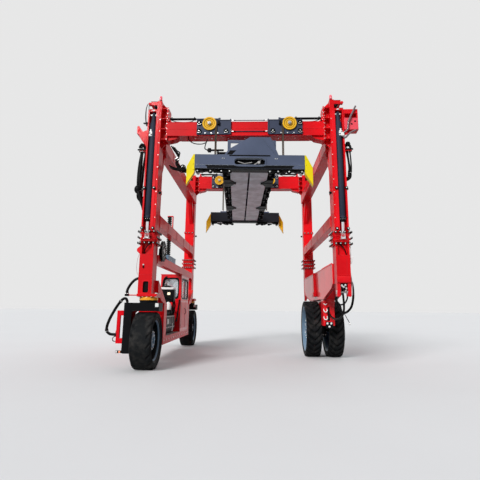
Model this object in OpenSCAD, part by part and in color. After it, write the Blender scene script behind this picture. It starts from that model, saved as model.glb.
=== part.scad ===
// Rubber tyred container portal crane with telescopic legs and a hanging spreader.
// X runs across the portal, Y along the travel direction, Z up from the ground.
// The origin is on the ground under the middle of the machine's bounding box.

/* [Portal] */
// Distance between the front and rear mast centres
wheel_base = 5900; // [5600:10:6200]
// Place of the middle between the masts along the travel direction
mid_y = 115; // [0:1:200]
// Clear width between the bolted mast flanges
clear_w = 3710; // [3600:10:3900]
// Gap bridged by shelves between a mast and its flange plate
flange_gap = 130; // [100:5:150]
// Thickness of the bolted flange plates
flange_t = 30; // [20:1:40]
// Depth of both crossbeams along the travel direction
beam_d = 350; // [300:10:370]
// Height of the front crossbeam
front_beam_h = 350; // [320:10:380]
// Height of the rear crossbeam
rear_beam_h = 470; // [420:10:490]
// Underside of the front crossbeam above the ground
front_beam_z = 5290; // [5270:10:5320]
// Underside of the rear crossbeam above the ground
rear_beam_z = 5670; // [5640:10:5690]
// Drop of the haunch under each crossbeam end
haunch_h = 110; // [60:10:140]
// Length of the haunch under each crossbeam end
haunch_l = 280; // [200:10:320]

/* [Masts] */
// Outer width of a mast
mast_w = 320; // [300:10:340]
// Outer depth of a mast with its cylinder channel
mast_d = 400; // [390:5:420]
// Depth of the box tube behind the cylinder channel
tube_d = 250; // [240:5:255]
// Wall of the mast tube
tube_wall = 18; // [12:1:22]
// Top of the masts above the ground
mast_top_z = 6190; // [6170:10:6260]
// Lower end of the mast tube at rest
tube_z = 2690; // [2660:10:2710]
// Lower end of the box column beside the lift cylinder
nose_z = 2990; // [2960:10:3040]
// Width of the box column beside the lift cylinder
nose_w = 105; // [90:1:108]
// Thickness of the cheek plate outside the lift cylinder
cheek_t = 34; // [20:1:38]
// Drop of the cheeks' upper ends below the masts' tops
cheek_drop = 220; // [210:5:300]
// Height of the plate on a mast's head, above the opening
head_cap_h = 115; // [90:5:140]
// Height of the block under the opening that holds the barrel's eye
eye_block_h = 60; // [40:5:90]
// Height of the slide pad collar at the foot of a mast
collar_h = 300; // [260:10:340]
// Overhang of the collar plates
collar_out = 48; // [30:1:60]
// Thickness of one collar plate
collar_t = 40; // [25:1:50]
// Height of the upper pad band above the ground
band_z = 3930; // [3800:10:4100]
// Overhang of the upper pad band
band_out = 16; // [8:1:24]
// Height of the upper pad band
band_h = 90; // [60:5:120]

/* [Side frames] */
// Underside of the upper side beams
top_side_z = 5070; // [5020:10:5090]
// Height of the upper side beams
top_side_h = 290; // [240:10:310]
// Width of the upper side beams
top_side_w = 270; // [220:10:280]
// Underside of the lower side beams
low_side_z = 3170; // [3120:10:3200]
// Height of the lower side beams
low_side_h = 250; // [200:10:280]
// Width of the lower side beams
low_side_w = 200; // [160:10:220]
// Foot of the short diagonal on the mast
knee_z = 4300; // [4200:10:4400]
// Length of the short diagonal along the upper side beam
knee_l = 480; // [400:10:520]
// Width of the short diagonal
knee_w = 140; // [100:5:150]
// Thickness of the short diagonal measured along the mast
knee_t = 170; // [140:5:200]

/* [Lift cylinders] */
// Radius of a lift cylinder barrel
barrel_r = 76; // [70:0.5:77]
// Radius of a lift cylinder rod
rod_r = 55; // [45:0.5:60]
// Running gap between a rod and its gland
rod_gap = 0.5; // [0.3:0.1:1]
// Lower end of the barrels at rest
barrel_z = 3280; // [3240:10:3320]
// Drop of the barrels' upper ends below the masts' tops
barrel_drop = 550; // [530:10:590]
// Radius of a barrel's tapered eye at its lower, wide end
eye_base_r = 62; // [50:1:68]
// Radius of a barrel's tapered eye at its upper end
eye_top_r = 34; // [28:1:44]
// Thickness of the gland collar at the barrel's lower end
gland_h = 55; // [40:5:80]
// Overhang of the gland collar
gland_out = 1; // [0.5:0.5:1]

/* [Lower legs] */
// Width of a lower leg box
leg_w = 300; // [280:5:310]
// Top of the rod seat above the ground
seat_z = 2800; // [2780:5:2840]
// Clearance between the inner mast and the tube around it
slide_gap = 8; // [6:1:10]
// Clearance between the leg's seat box and the mast tube
seat_gap = 7; // [6:1:10]
// Thickness of the rod seat plate
seat_t = 50; // [30:5:70]
// Height of the pocket under the rod seat
pocket_h = 290; // [200:10:320]
// Depth of the pocket under the rod seat
pocket_d = 110; // [60:5:120]
// Plate left beside the pocket on each side
pocket_side = 40; // [25:1:60]
// Top of the inner masts above the ground
inner_top_z = 4900; // [4700:10:5000]
// Size of the bolted plate under a left leg
foot_w = 440; // [420:5:460]
// Thickness of the bolted plate under a left leg
foot_t = 60; // [40:5:80]

/* [Left wheels] */
// Distance of the steering axes from the mast centres towards the portal
steer_in = 55; // [35:5:75]
// Radius of the left tyres
left_tyre_r = 600; // [580:5:620]
// Width of the left tyres
left_tyre_w = 450; // [420:5:460]
// Radius of the left rims
left_rim_r = 455; // [420:5:470]
// Radius of the slewing rings
slew_r = 205; // [180:5:220]
// Height of the slewing rings
slew_h = 90; // [70:5:100]
// Height of the seat under a slewing ring
slew_seat = 45; // [30:5:60]
// Top of the wheel forks above the ground
fork_top_z = 1395; // [1380:5:1410]
// Thickness of the fork's top crosspiece
fork_top_h = 180; // [150:5:185]
// Reach of the fork's top crosspiece towards the portal
fork_in = 280; // [250:5:290]
// Gap between the tyre and the fork's side leg
fork_gap = 100; // [60:5:110]
// Thickness of the fork's side leg
fork_leg_t = 160; // [120:5:180]
// Width of the fork along the travel direction
fork_d = 380; // [300:10:420]
// Lower end of the fork's side leg above the ground
fork_low_z = 340; // [300:10:400]
// Radius of the inner corner of the fork
fork_round = 70; // [40:5:90]
// Radius of the stub axles
axle_r = 70; // [60:1:80]
// Distance of an axle's end from the tyre's outer face
axle_end = 120; // [110:5:130]
// Top of the guard frame outside the fork
guard_top = 1225; // [1180:5:1230]
// Lower end of the guard frame
guard_low = 540; // [520:10:600]
// Reach of the guard frame
guard_out = 150; // [120:5:160]
// Width of the guard frame's rails
guard_rail = 70; // [50:5:80]
// Running gap of axles, pins and rings
pin_gap = 0.5; // [0.3:0.1:1]

/* [Right wheels] */
// Distance of the twin tyres' middle from the mast centres towards the portal
twin_in = 35; // [25:5:45]
// Distance between the twin tyres' centres
twin_pitch = 600; // [590:5:620]
// Radius of the right tyres
right_tyre_r = 752; // [740:2:760]
// Width of the right tyres
right_tyre_w = 410; // [380:5:420]
// Radius of the right rims
right_rim_r = 596; // [560:2:610]
// Radius of the drive housing between the twin tyres
hub_r = 230; // [200:5:260]

/* [Right chassis] */
// Inner face of the chassis box from the mast centres
side_box_in = 175; // [165:5:185]
// Thickness of the chassis box
side_box_w = 350; // [340:5:360]
// Top of the chassis box above the ground
side_box_top = 2310; // [2280:10:2340]
// Underside of the chassis box at its ends
side_box_end = 1760; // [1740:10:1800]
// Underside of the chassis box over the tyres
side_box_low = 1540; // [1530:5:1560]
// Half length of the deep middle stretch of the chassis box
side_box_mid = 1400; // [1200:10:1500]
// Lower end of the right legs above the ground
right_leg_low = 1850; // [1800:10:1900]
// Width of the posts before and behind the twin tyres
post_w = 300; // [260:10:320]
// Depth of the posts along the travel direction
post_d = 300; // [240:10:320]
// Lower end of the posts above the ground
post_low = 870; // [840:10:900]
// Gap between the posts and the tyres
post_gap = 30; // [20:5:50]
// Thickness of the web between the twin tyres
web_t = 130; // [110:5:140]

/* [Left chassis] */
// Inner face of the left chassis from the mast centres
low_in = 225; // [215:5:235]
// Width of the left chassis
low_w = 620; // [580:10:640]
// Front end of the left chassis from the portal's middle
low_front = 2070; // [2050:10:2100]
// Rear end of the left chassis from the portal's middle
low_rear = 1860; // [1800:10:1900]
// Underside of the left chassis above the ground
low_z = 430; // [400:10:460]
// Height of the bottom beam
low_h = 180; // [150:10:200]
// Top of the front housing above the ground
front_box_top = 1400; // [1380:10:1420]
// Length of the front housing
front_box_l = 320; // [280:10:360]
// Thickness of the plates of the front housing
plate_t = 30; // [20:1:40]
// Louvre slots in the front plate
louvre_n = 4; // [2:1:6]
// Pitch of the louvre slots
louvre_pitch = 117; // [100:1:140]
// Height of a louvre slot
louvre_h = 60; // [40:5:80]
// Width of the louvre slots
louvre_w = 90; // [60:5:110]
// Gap above the highest louvre slot
louvre_drop = 270; // [200:10:300]
// Thickness of the tie beam between the left legs
tie_h = 200; // [180:10:220]
// Underside of the tie beam above the ground
tie_z = 2290; // [2280:5:2310]
// Width of the tie beam
tie_w = 160; // [120:10:180]
// Front end of the box on the tie beam
tie_box_y = -1500; // [-1560:10:-1400]
// Length of the box on the tie beam
tie_box_l = 950; // [850:10:1000]
// Height of the box on the tie beam
tie_box_h = 140; // [100:10:160]

/* [Cab] */
// Front face of the cab from the portal's middle
cab_front = 230; // [180:10:280]
// Length of the cab
cab_l = 1360; // [1300:10:1400]
// Height of the cab above the bottom beam
cab_h = 1650; // [1600:10:1670]
// Thickness of the cab's corner posts
cab_post = 90; // [60:5:100]
// Height of the cab's window sill above its floor
sill_h = 950; // [850:10:1000]
// Thickness of the glass
glass_t = 8; // [6:1:12]

/* [Spreader] */
// Sideways place of the spreader's middle
spread_x = 0; // [-60:5:60]
// Place of the spreader's middle along the travel direction
spread_y = -695; // [-720:5:-680]
// Turn of the spreader seen from above, in degrees
skew = 2.4; // [0:0.1:3]
// Underside of the spreader above the ground
spread_z = 4263; // [4240:1:4300]
// Length of the spreader over its end beams
spread_l = 6060; // [6000:10:6060]
// Width of the spreader's end beams
spread_w = 2440; // [2400:10:2440]
// Depth of an end beam
end_d = 300; // [260:10:320]
// Height of an end beam
end_h = 320; // [300:5:330]
// Length of the slot in an end beam
slot_l = 680; // [500:10:760]
// Height of the slot in an end beam
slot_h = 180; // [140:5:190]
// Depth of the slot in an end beam
slot_d = 120; // [80:5:150]
// Width of one sleeve of the main frame
sleeve_w = 410; // [380:10:420]
// Gap between the two sleeves
sleeve_gap = 40; // [30:5:60]
// Height of the sleeves
sleeve_h = 290; // [270:5:295]
// Wall of the sleeves
sleeve_wall = 14; // [10:1:18]
// Running gap beside and above the sliding beams
beam_gap = 8; // [6:1:10]
// Running gap under the sliding beams
foot_gap = 0.3; // [0.3:0.1:0.5]
// Length of a sliding beam inside its sleeve
slide_l = 4500; // [4200:50:4800]
// Height of the head frame on top of the sleeves
head_h = 120; // [100:5:130]
// Width of the head frame
head_w = 500; // [400:10:560]
// Half length of a rope arm of the head frame
arm_half = 880; // [860:5:920]
// Depth of a rope arm
arm_d = 200; // [190:5:220]
// Top of the head plates above the ground
head_top_z = 5120; // [5060:10:5150]
// Thickness of the head plates
head_plate_t = 24; // [16:1:30]
// Flare of the corner guides
guide_out = 170; // [120:10:180]
// Height of the corner guides
guide_h = 700; // [600:10:720]
// Depth of the corner guides
guide_d = 120; // [90:5:150]
// Thickness of the corner guide plates
guide_t = 16; // [10:1:20]

/* [Trolleys] */
// Sideways place of the front trolleys
trolley_front_x = 105; // [80:5:120]
// Sideways place of the rear trolleys
trolley_rear_x = -135; // [-150:5:-120]
// Half distance between the trolleys' outer ends
trolley_out = 1255; // [1200:5:1280]
// Half distance between the trolleys' inner ends
trolley_in = 445; // [420:5:480]
// Height of the trolley plates above the beam's top
trolley_up = 40; // [36:1:50]
// Trolley plates end this far above the beam's underside
trolley_lift = 20; // [10:1:40]
// Thickness of the trolley plates
trolley_t = 20; // [16:1:24]
// Clearance between the trolley plates and the beam
trolley_gap = 6; // [5:1:8]
// Running gap of the trolley on the beam
ride_gap = 0.3; // [0.3:0.1:0.5]
// Radius of the roller bosses
boss_r = 42; // [34:1:50]
// Height of the roller bosses
boss_h = 22; // [14:1:30]
// Half distance between the hoist ropes
rope_half = 790; // [780:5:800]
// Pitch radius of the sheaves
sheave_r = 160; // [150:5:170]
// Width of the sheaves
sheave_w = 40; // [34:1:44]
// Depth of the rope groove under the pitch circle
groove_d = 11.6; // [11.4:0.1:14]
// Rim of a sheave over the pitch circle
sheave_rim = 6; // [4:1:8]
// Width of the rope groove
groove_w = 25; // [24:0.5:28]
// Radius of the hoist ropes
rope_r = 11; // [9:0.5:11]
// Gap between the sheaves and their bracket
sheave_gap = 6; // [5:1:10]
// Reach of the rear sheave brackets
rear_reach = 230; // [200:5:240]
// Radius of the sheave pins
sheave_pin_r = 28; // [22:1:34]
// Side clearance between a rope socket and its rope end
socket_gap = 0.3; // [0.3:0.1:0.5]
// Height of the rope sockets
socket_h = 60; // [40:5:70]
// Radius of the rope sockets
socket_r = 30; // [24:1:36]
// Radius of the side shift barrels
shift_r = 32; // [26:1:34]
// Radius of the side shift rods
shift_rod_r = 16; // [12:1:18]
// Length of the side shift barrels
shift_l = 640; // [600:10:680]
// Height of the side shift cylinders over the beam's top
shift_up = 100; // [98:1:110]
// Radius of the tie rods between the trolleys
tie_rod_r = 9; // [7:1:10]

/* [Energy chain] */
// Width of the energy chain
chain_w = 110; // [80:5:130]
// Thickness of the energy chain
chain_t = 60; // [40:5:80]
// Radius of the cable reel
reel_r = 250; // [200:10:280]
// Distance of the reel's middle in front of the portal's middle
reel_y = 2380; // [2300:10:2450]
// Height of the reel's middle over the tie beam's underside
reel_up = 330; // [300:10:380]
// Height of the energy chain's upper end
chain_top = 3900; // [3800:10:4000]
// Gap between the tie beam and the energy chain
chain_gap = 40; // [30:5:60]
// Place of the energy chain along the travel direction
chain_y = -420; // [-460:10:-380]

/* [Mast fittings] */
// Length of the hook on the left front mast
hook_l = 250; // [200:10:280]
// Foot of the hook below the mast's top
hook_drop = 1190; // [1150:10:1230]
// Height of the hook
hook_h = 550; // [500:10:580]
// Thickness of the hook plate
hook_t = 140; // [100:10:160]
// Width of the box on the right front mast
side_box_out = 340; // [300:10:340]
// Depth of the box on the right front mast
side_box_d = 240; // [200:10:260]
// Height of the box on the right front mast
side_box_h = 510; // [460:10:540]
// Top of the box below the mast's top
side_box_drop = 260; // [240:10:300]
// Wall of the box on the right front mast
side_box_wall = 30; // [20:5:40]
// Reach of the clamps of the hose bundles
clamp_l = 170; // [165:1:175]
// Thickness of the clamps of the hose bundles
clamp_t = 30; // [20:1:40]
// Depth of the clamps of the hose bundles
clamp_w = 120; // [118:1:130]
// Radius of the lamps on the masts
lamp_r = 34; // [24:1:38]
// Height of the straight part of a lamp
lamp_h = 80; // [60:5:100]
// Height of the foot of a lamp
lamp_foot = 40; // [30:5:50]

/* [Engine bay] */
// Width of the engine block
engine_w = 370; // [320:10:400]
// Height of the engine block
engine_h = 640; // [560:10:680]
// Height of the filter on the engine block
filter_h = 230; // [200:10:260]
// Width of the radiator
cooler_w = 520; // [480:10:540]
// Thickness of the radiator
cooler_t = 100; // [80:10:110]
// Radius of the exhaust pipe
exhaust_r = 50; // [40:1:55]
// Height of the exhaust pipe
exhaust_h = 1400; // [1300:10:1420]

/* [Hidden] */
$fn = 48;
// Places of the masts, flanges and beams
flange_x = clear_w / 2;
mast_x = flange_x + flange_t + flange_gap + mast_w / 2;
mast_y = wheel_base / 2;
barrel_top_z = mast_top_z - barrel_drop;
cheek_top_z = mast_top_z - cheek_drop;
eye_top_z = cheek_top_z - eye_block_h;
mast_in = mast_y - mast_d / 2;
tube_front = tube_d - mast_d / 2;
channel_w = mast_w - nose_w - cheek_t;
barrel_x = nose_w - mast_w / 2 + channel_w / 2;
barrel_y = tube_front + barrel_r + 2;
front_top = front_beam_z + front_beam_h;
rear_top = rear_beam_z + rear_beam_h;
face_d = beam_d / 2;
// Places of the chassis and wheels across the portal
steer_x = mast_x - steer_in;
twin_x = mast_x - twin_in;
side_box_x = mast_x - side_box_in;
low_x = mast_x - low_in;
// Places of the lower legs
leg_front = tube_front + seat_gap;
leg_out = mast_d / 2 + 5;
leg_top = tube_z - 10;
inner_w = mast_w - 2 * tube_wall - 2 * slide_gap;
inner_d = tube_d - 2 * tube_wall - 2 * slide_gap;
foot_z = fork_top_z + slew_h + slew_seat;
leg_foot_z = foot_z + foot_t;
// Places of the right wheels
post_y = right_tyre_r + post_gap;
right_axle_z = right_tyre_r;
web_x = twin_x - web_t / 2;
// Places of the cab
cab_floor = low_z + low_h;
cab_top = cab_floor + cab_h;
cab_x = -low_x - low_w;
// Places of the tie beam and the energy chain
tie_x = -mast_x + leg_w / 2 + 15;
chain_x = tie_x - tie_w - chain_gap - chain_w;
// Places of the spreader, in its own turned frame
sleeve_z = spread_z + end_h - sleeve_h;
sleeve_top = spread_z + end_h;
main_l = spread_l - 2 * end_d - 20;
slide_w = sleeve_w - 2 * sleeve_wall - 2 * beam_gap;
slide_h = sleeve_h - 2 * sleeve_wall - beam_gap - foot_gap;
sleeve_x = sleeve_gap / 2 + sleeve_w / 2;
anchor_z = sleeve_top + head_h;
rope_low = anchor_z + socket_h + socket_gap;
// Places of the trolleys and their ropes
sheave_x = rope_half + sheave_r;
front_plate_y = -mast_y - face_d - trolley_gap - trolley_t;
rear_plate_y = mast_y - face_d - trolley_gap - trolley_t;
front_sheave_y = front_plate_y - sheave_gap - sheave_w / 2;
rear_sheave_y = rear_plate_y - rear_reach - sheave_gap - sheave_w / 2;
front_sheave_z = front_beam_z + front_beam_h / 2 + 110;
rear_sheave_z = rear_beam_z + rear_beam_h / 2;
shift_y = 55;
shift_lug = 720;
shift_end = 1500;
red = [0.78, 0.02, 0.03];
dark = [0.13, 0.15, 0.19];
black = [0.03, 0.03, 0.035];
yellow = [0.95, 0.62, 0.05];
chrome = [0.9, 0.9, 0.92];
steel_blue = [0.42, 0.5, 0.56];
rubber = [0.05, 0.05, 0.055];
// Routes of the free hoses, chosen by hand
hose_gap = 0.3;
leg_side = mast_x + leg_w / 2;
mast_side = mast_x + mast_w / 2;
fork_side = steer_x + left_tyre_w / 2 + fork_gap + fork_leg_t;
clamp_x = leg_side + 275;
clamp_y = 3010;
bundle_x = mast_side + 105;
bundle_top = mast_top_z - 1260;
bundle_y = mast_y + 10;
post_face = right_tyre_r + post_gap + post_d;
steer_upper = [[-leg_side - hose_gap, -3000, 1930], [-leg_side - 45, -3000, 1930],
    [-clamp_x + 150, -3003, 1890], [-clamp_x + 70, -3007, 1800], [-clamp_x + 15, -clamp_y, 1700],
    [-clamp_x, -clamp_y, 1640], [-clamp_x, -clamp_y, foot_z + foot_t + hose_gap]];
steer_lower = [[-fork_side + 40, -3070, fork_top_z + hose_gap], [-fork_side + 40, -3070, 1430],
    [-fork_side + 12, -3072, 1478], [-fork_side - 35, -3075, 1482], [-fork_side - 88, -3078, 1440],
    [-fork_side - 170, -3080, 1325], [-fork_side - 255, -3080, 1175], [-fork_side - 330, -3080, 1010],
    [-fork_side - 366, -3080, 880], [-fork_side - 358, -3078, 785], [-fork_side - 300, -3074, 733],
    [-fork_side - 225, -3070, 720], [-fork_side - guard_out - hose_gap, -3070, 720]];
left_bundle = [[-bundle_x, -3000, bundle_top - hose_gap], [-bundle_x, -3000, bundle_top - 80],
    [-bundle_x - 15, -3010, bundle_top - 280], [-bundle_x - 25, -3020, bundle_top - 550],
    [-bundle_x - 30, -3020, bundle_top - 810], [-bundle_x - 25, -3000, bundle_top - 980],
    [-bundle_x - 20, -2985, bundle_top - 1080], [-bundle_x - 7, -2972, bundle_top - 1130],
    [-mast_side - 75, -2963, bundle_top - 1167], [-mast_side - 27, -bundle_y, bundle_top - 1180],
    [-mast_side - hose_gap, -bundle_y, bundle_top - 1180]];
right_bundle = [[bundle_x, -3000, bundle_top - hose_gap], [bundle_x, -3000, bundle_top - 80],
    [bundle_x + 10, -3010, bundle_top - 230], [bundle_x + 20, -3020, bundle_top - 430],
    [bundle_x + 18, -3000, bundle_top - 530], [bundle_x + 15, -2985, bundle_top - 580],
    [bundle_x + 2, -2975, bundle_top - 628], [mast_side + 72, -2965, bundle_top - 662],
    [mast_side + 27, -bundle_y, bundle_top - 675], [mast_side + hose_gap, -bundle_y, bundle_top - 675]];
drive_hose = [[mast_x, -2900, right_leg_low - hose_gap], [mast_x, -2900, 1780],
    [mast_x + 15, -2895, 1600], [mast_x + 30, -2870, 1420], [mast_x + 40, -2780, 1260],
    [mast_x + 35, -2600, 1150], [mast_x + 20, -2300, 1080], [mast_x + 10, -1900, 1060],
    [mast_x + 5, -1500, 1090], [mast_x + 5, -1250, 1135], [mast_x + 5, -post_face - 60, 1150],
    [mast_x + 5, -post_face - hose_gap, 1150]];

// Moves a node from the middle between the masts into the shared frame
module placed() {
    translate([0, mid_y, 0])
        children();
}

module corner(sx, sy) {
    translate([sx * mast_x, sy * mast_y, 0])
        mirror([sx < 0 ? 1 : 0, 0, 0])
            mirror([0, sy < 0 ? 1 : 0, 0])
                children();
}

module block(x0, x1, y0, y1, z0, z1) {
    translate([min(x0, x1), min(y0, y1), min(z0, z1)])
        cube([abs(x1 - x0), abs(y1 - y0), abs(z1 - z0)]);
}

// A profile in the YZ plane, extruded along X from x0
module side_profile(x0, w, points) {
    translate([x0, 0, 0])
        rotate([90, 0, 90])
            linear_extrude(w)
                polygon(points);
}

// A profile in the XZ plane, extruded along Y from y0 to y0 + d
module face_profile(y0, d, points) {
    translate([0, y0 + d, 0])
        rotate([90, 0, 0])
            linear_extrude(d)
                polygon(points);
}

module rod_x(x0, x1, y, z, r) {
    translate([min(x0, x1), y, z])
        rotate([0, 90, 0])
            cylinder(h = abs(x1 - x0), r = r);
}

module rod_y(y0, y1, x, z, r) {
    translate([x, min(y0, y1), z])
        rotate([-90, 0, 0])
            cylinder(h = abs(y1 - y0), r = r);
}

function unit(v) = v / norm(v);
function tangent(p, i) = unit(p[min(i + 1, len(p) - 1)] - p[max(i - 1, 0)]);
function ring(p, i, r, side, n) =
    let (t = tangent(p, i))
    let (u = unit(cross(t, side)))
    let (v = cross(t, u))
    [for (k = [0 : n - 1]) p[i] + r * (cos(360 * k / n) * u + sin(360 * k / n) * v)];

// A round hose swept along a list of points; side is never along the hose
module hose(p, r, side, n = 10) {
    m = len(p);
    points = [for (i = [0 : m - 1]) each ring(p, i, r, side, n)];
    sides = [for (i = [0 : m - 2]) for (k = [0 : n - 1])
        [i * n + k, i * n + (k + 1) % n, (i + 1) * n + (k + 1) % n, (i + 1) * n + k]];
    first = [for (k = [0 : n - 1]) n - 1 - k];
    last = [for (k = [0 : n - 1]) (m - 1) * n + k];
    polyhedron(points = points, faces = concat([first, last], sides), convexity = 6);
}

module crossbeam(sy, z, h) {
    y = sy * mast_y;
    block(-flange_x, flange_x, y - face_d, y + face_d, z, z + h);
    for (s = [-1, 1])
        face_profile(y - 0.35 * beam_d, 0.7 * beam_d,
            [[s * flange_x, z + 1], [s * flange_x, z - haunch_h],
             [s * (flange_x - 0.7 * haunch_l), z - 0.6 * haunch_h],
             [s * (flange_x - haunch_l), z + 1]]);
}

module front_crossbeam() {
    color(red)
        placed()
            crossbeam(-1, front_beam_z, front_beam_h);
}

module rear_crossbeam() {
    color(red)
        placed()
            crossbeam(1, rear_beam_z, rear_beam_h);
}

// Ring of plates round the foot of a mast, open to the cylinder channel
module mast_collar(z, h, out) {
    block(-mast_w / 2 - out, mast_w / 2 + out, -mast_d / 2 - out, tube_front, z, z + h);
}

module mast_flange(z, h) {
    x0 = -mast_w / 2 - flange_gap - flange_t;
    low = z - haunch_h;
    high = max(z + h + 10, mast_top_z - 160);
    block(x0, x0 + flange_t, -face_d, face_d, low, high);
    face_profile(-15, 30, [[x0 + 5, low], [x0 + 5, high], [-mast_w / 2 + 5, mast_top_z],
        [-mast_w / 2 + 5, low - 150]]);
    for (k = [0 : 3])
        block(x0 + 5, -mast_w / 2 + 5, -face_d, face_d, low + 30 + k * (high - low - 60) / 3 - 7,
            low + 30 + k * (high - low - 60) / 3 + 7);
}

module mast(beam_z, beam_h) {
    half = mast_w / 2;
    difference() {
        union() {
            block(-half, half, -mast_d / 2, tube_front, tube_z, cheek_top_z);
            block(-half, nose_w - half, -mast_d / 2, tube_front, cheek_top_z - 1, mast_top_z);
            block(-half, nose_w - half, tube_front - 5, mast_d / 2, nose_z, mast_top_z);
            block(half - cheek_t, half, tube_front - 5, mast_d / 2, nose_z, cheek_top_z);
            block(-half, half, tube_front - 5, mast_d / 2, eye_top_z, cheek_top_z);
            block(-half, half - 55, -mast_d / 2, mast_d / 2, mast_top_z - head_cap_h, mast_top_z - 20);
            mast_collar(tube_z, collar_t, collar_out);
            mast_collar(tube_z, collar_h, 0.5 * collar_out);
            mast_collar(tube_z + (collar_h - collar_t) / 2, collar_t, collar_out);
            mast_collar(tube_z + collar_h - collar_t, collar_t, collar_out);
            mast_collar(band_z, band_h, band_out);
            mast_flange(beam_z, beam_h);
        }
        block(-half + tube_wall, half - tube_wall, -mast_d / 2 + tube_wall, tube_front - tube_wall,
            tube_z - 1, cheek_top_z - tube_wall);
    }
}

module mast_front_left() {
    color(red)
        placed()
            corner(-1, -1)
                mast(front_beam_z, front_beam_h);
}

module mast_front_right() {
    color(red)
        placed()
            corner(1, -1)
                mast(front_beam_z, front_beam_h);
}

module mast_rear_left() {
    color(red)
        placed()
            corner(-1, 1)
                mast(rear_beam_z, rear_beam_h);
}

module mast_rear_right() {
    color(red)
        placed()
            corner(1, 1)
                mast(rear_beam_z, rear_beam_h);
}

// Upper and lower side beam of one side with the short diagonals
module side_frame(s) {
    top_x = mast_x - mast_w / 2 - 65;
    low_beam_x = mast_x - mast_w / 2 - 15;
    knee_x = low_beam_x + 40;
    mirror([s < 0 ? 1 : 0, 0, 0]) {
        block(top_x, top_x + top_side_w, -mast_in, mast_in, top_side_z, top_side_z + top_side_h);
        block(low_beam_x, low_beam_x + low_side_w, -mast_in, mast_in, low_side_z,
            low_side_z + low_side_h);
        for (m = [0, 1])
            mirror([0, m, 0]) {
                side_profile(knee_x, knee_w, [[mast_in, knee_z], [mast_in, knee_z + knee_t],
                    [mast_in - knee_l + 150, top_side_z + 1], [mast_in - knee_l, top_side_z + 1]]);
                side_profile(low_beam_x + 30, low_side_w - 60, [[mast_in, low_side_z - 110],
                    [mast_in, low_side_z + low_side_h + 110], [mast_in - 190, low_side_z + low_side_h - 1],
                    [mast_in - 190, low_side_z + 1]]);
            }
    }
}

module side_frame_left() {
    post_out = -mast_x - 5;
    color(red)
        placed() {
            side_frame(-1);
            block(post_out, post_out + 20, chain_y - 10, chain_y + chain_t + 10, low_side_z + low_side_h - 1,
                chain_top + 20);
            block(chain_x - 10, post_out + 1, chain_y - 10, chain_y + chain_t + 10, chain_top,
                chain_top + 20);
        }
}

module side_frame_right() {
    color(red)
        placed()
            side_frame(1);
}

module lift_barrels() {
    color(dark)
        placed()
            for (sx = [-1, 1])
                for (sy = [-1, 1])
                    corner(sx, sy)
                        translate([barrel_x, barrel_y, 0])
                            difference() {
                                union() {
                                    translate([0, 0, barrel_z])
                                        cylinder(h = barrel_top_z - barrel_z, r = barrel_r);
                                    translate([0, 0, barrel_z])
                                        cylinder(h = gland_h, r = barrel_r + gland_out);
                                    translate([0, 0, barrel_top_z - 1])
                                        cylinder(h = eye_top_z - barrel_top_z + 1, r1 = eye_base_r,
                                            r2 = eye_top_r);
                                }
                                translate([0, 0, barrel_z - 1])
                                    cylinder(h = barrel_top_z - barrel_z - 60, r = rod_r + rod_gap);
                            }
}

module lift_rods(sx) {
    for (sy = [-1, 1])
        corner(sx, sy)
            translate([barrel_x, barrel_y, seat_z])
                cylinder(h = barrel_top_z - 120 - seat_z, r = rod_r);
}

module lift_rods_left() {
    color(chrome)
        placed()
            lift_rods(-1);
}

module lift_rods_right() {
    color(chrome)
        placed()
            lift_rods(1);
}

// Red lamps on top of the front masts
module beacons() {
    color([0.85, 0.12, 0.2])
        placed()
            for (sx = [-1, 1])
                translate([sx * (mast_x - mast_w / 2 + 45), -mast_y - mast_d / 2 + 60, mast_top_z]) {
                    cylinder(h = lamp_foot, r = 1.15 * lamp_r);
                    translate([0, 0, lamp_foot])
                        cylinder(h = lamp_h, r = lamp_r);
                    translate([0, 0, lamp_foot + lamp_h])
                        sphere(r = lamp_r);
                }
}

// Hook on the left front mast and box on the right front mast, both outside
module mast_brackets() {
    x = mast_side;
    y = -mast_y - mast_d / 2;
    low = mast_top_z - hook_drop;
    top = mast_top_z - side_box_drop;
    color(red)
        placed() {
            for (s = [-1, 1])
                block(s * x, s * (x + clamp_l), y + 90, y + 90 + clamp_w, bundle_top, bundle_top + clamp_t);
            face_profile(y + 20, hook_t, [[-x, low + 0.8 * hook_h], [-x, low],
                [-x - 0.88 * hook_l, low + 0.64 * hook_h], [-x - hook_l, low + 0.64 * hook_h],
                [-x - hook_l, low + 0.98 * hook_h], [-x - 0.84 * hook_l, low + hook_h],
                [-x - 0.44 * hook_l, low + 0.73 * hook_h]]);
            difference() {
                block(x, x + side_box_out, y + 20, y + 20 + side_box_d, top - side_box_h, top);
                block(x + side_box_wall, x + side_box_out - side_box_wall, y, y + 0.75 * side_box_d,
                    top - 0.45 * side_box_h, top - 0.1 * side_box_h);
            }
        }
}

// Barrels of the side shift cylinders on top of the crossbeams
module shift_barrel(s, y, z) {
    x0 = flange_x - 30 - shift_l;
    difference() {
        union() {
            rod_x(s * x0, s * (flange_x - 30), y, z, shift_r);
            block(s * (flange_x - 60), s * flange_x, y - 30, y + 30, z - shift_up, z + 30);
        }
        rod_x(s * (x0 - 1), s * (flange_x - 80), y, z, shift_rod_r + pin_gap);
    }
}

module shift_barrels() {
    color(black)
        placed()
            for (s = [-1, 1]) {
                shift_barrel(s, -mast_y - face_d + shift_y, front_top + shift_up);
                shift_barrel(s, mast_y - face_d + shift_y, rear_top + shift_up);
            }
}

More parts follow.
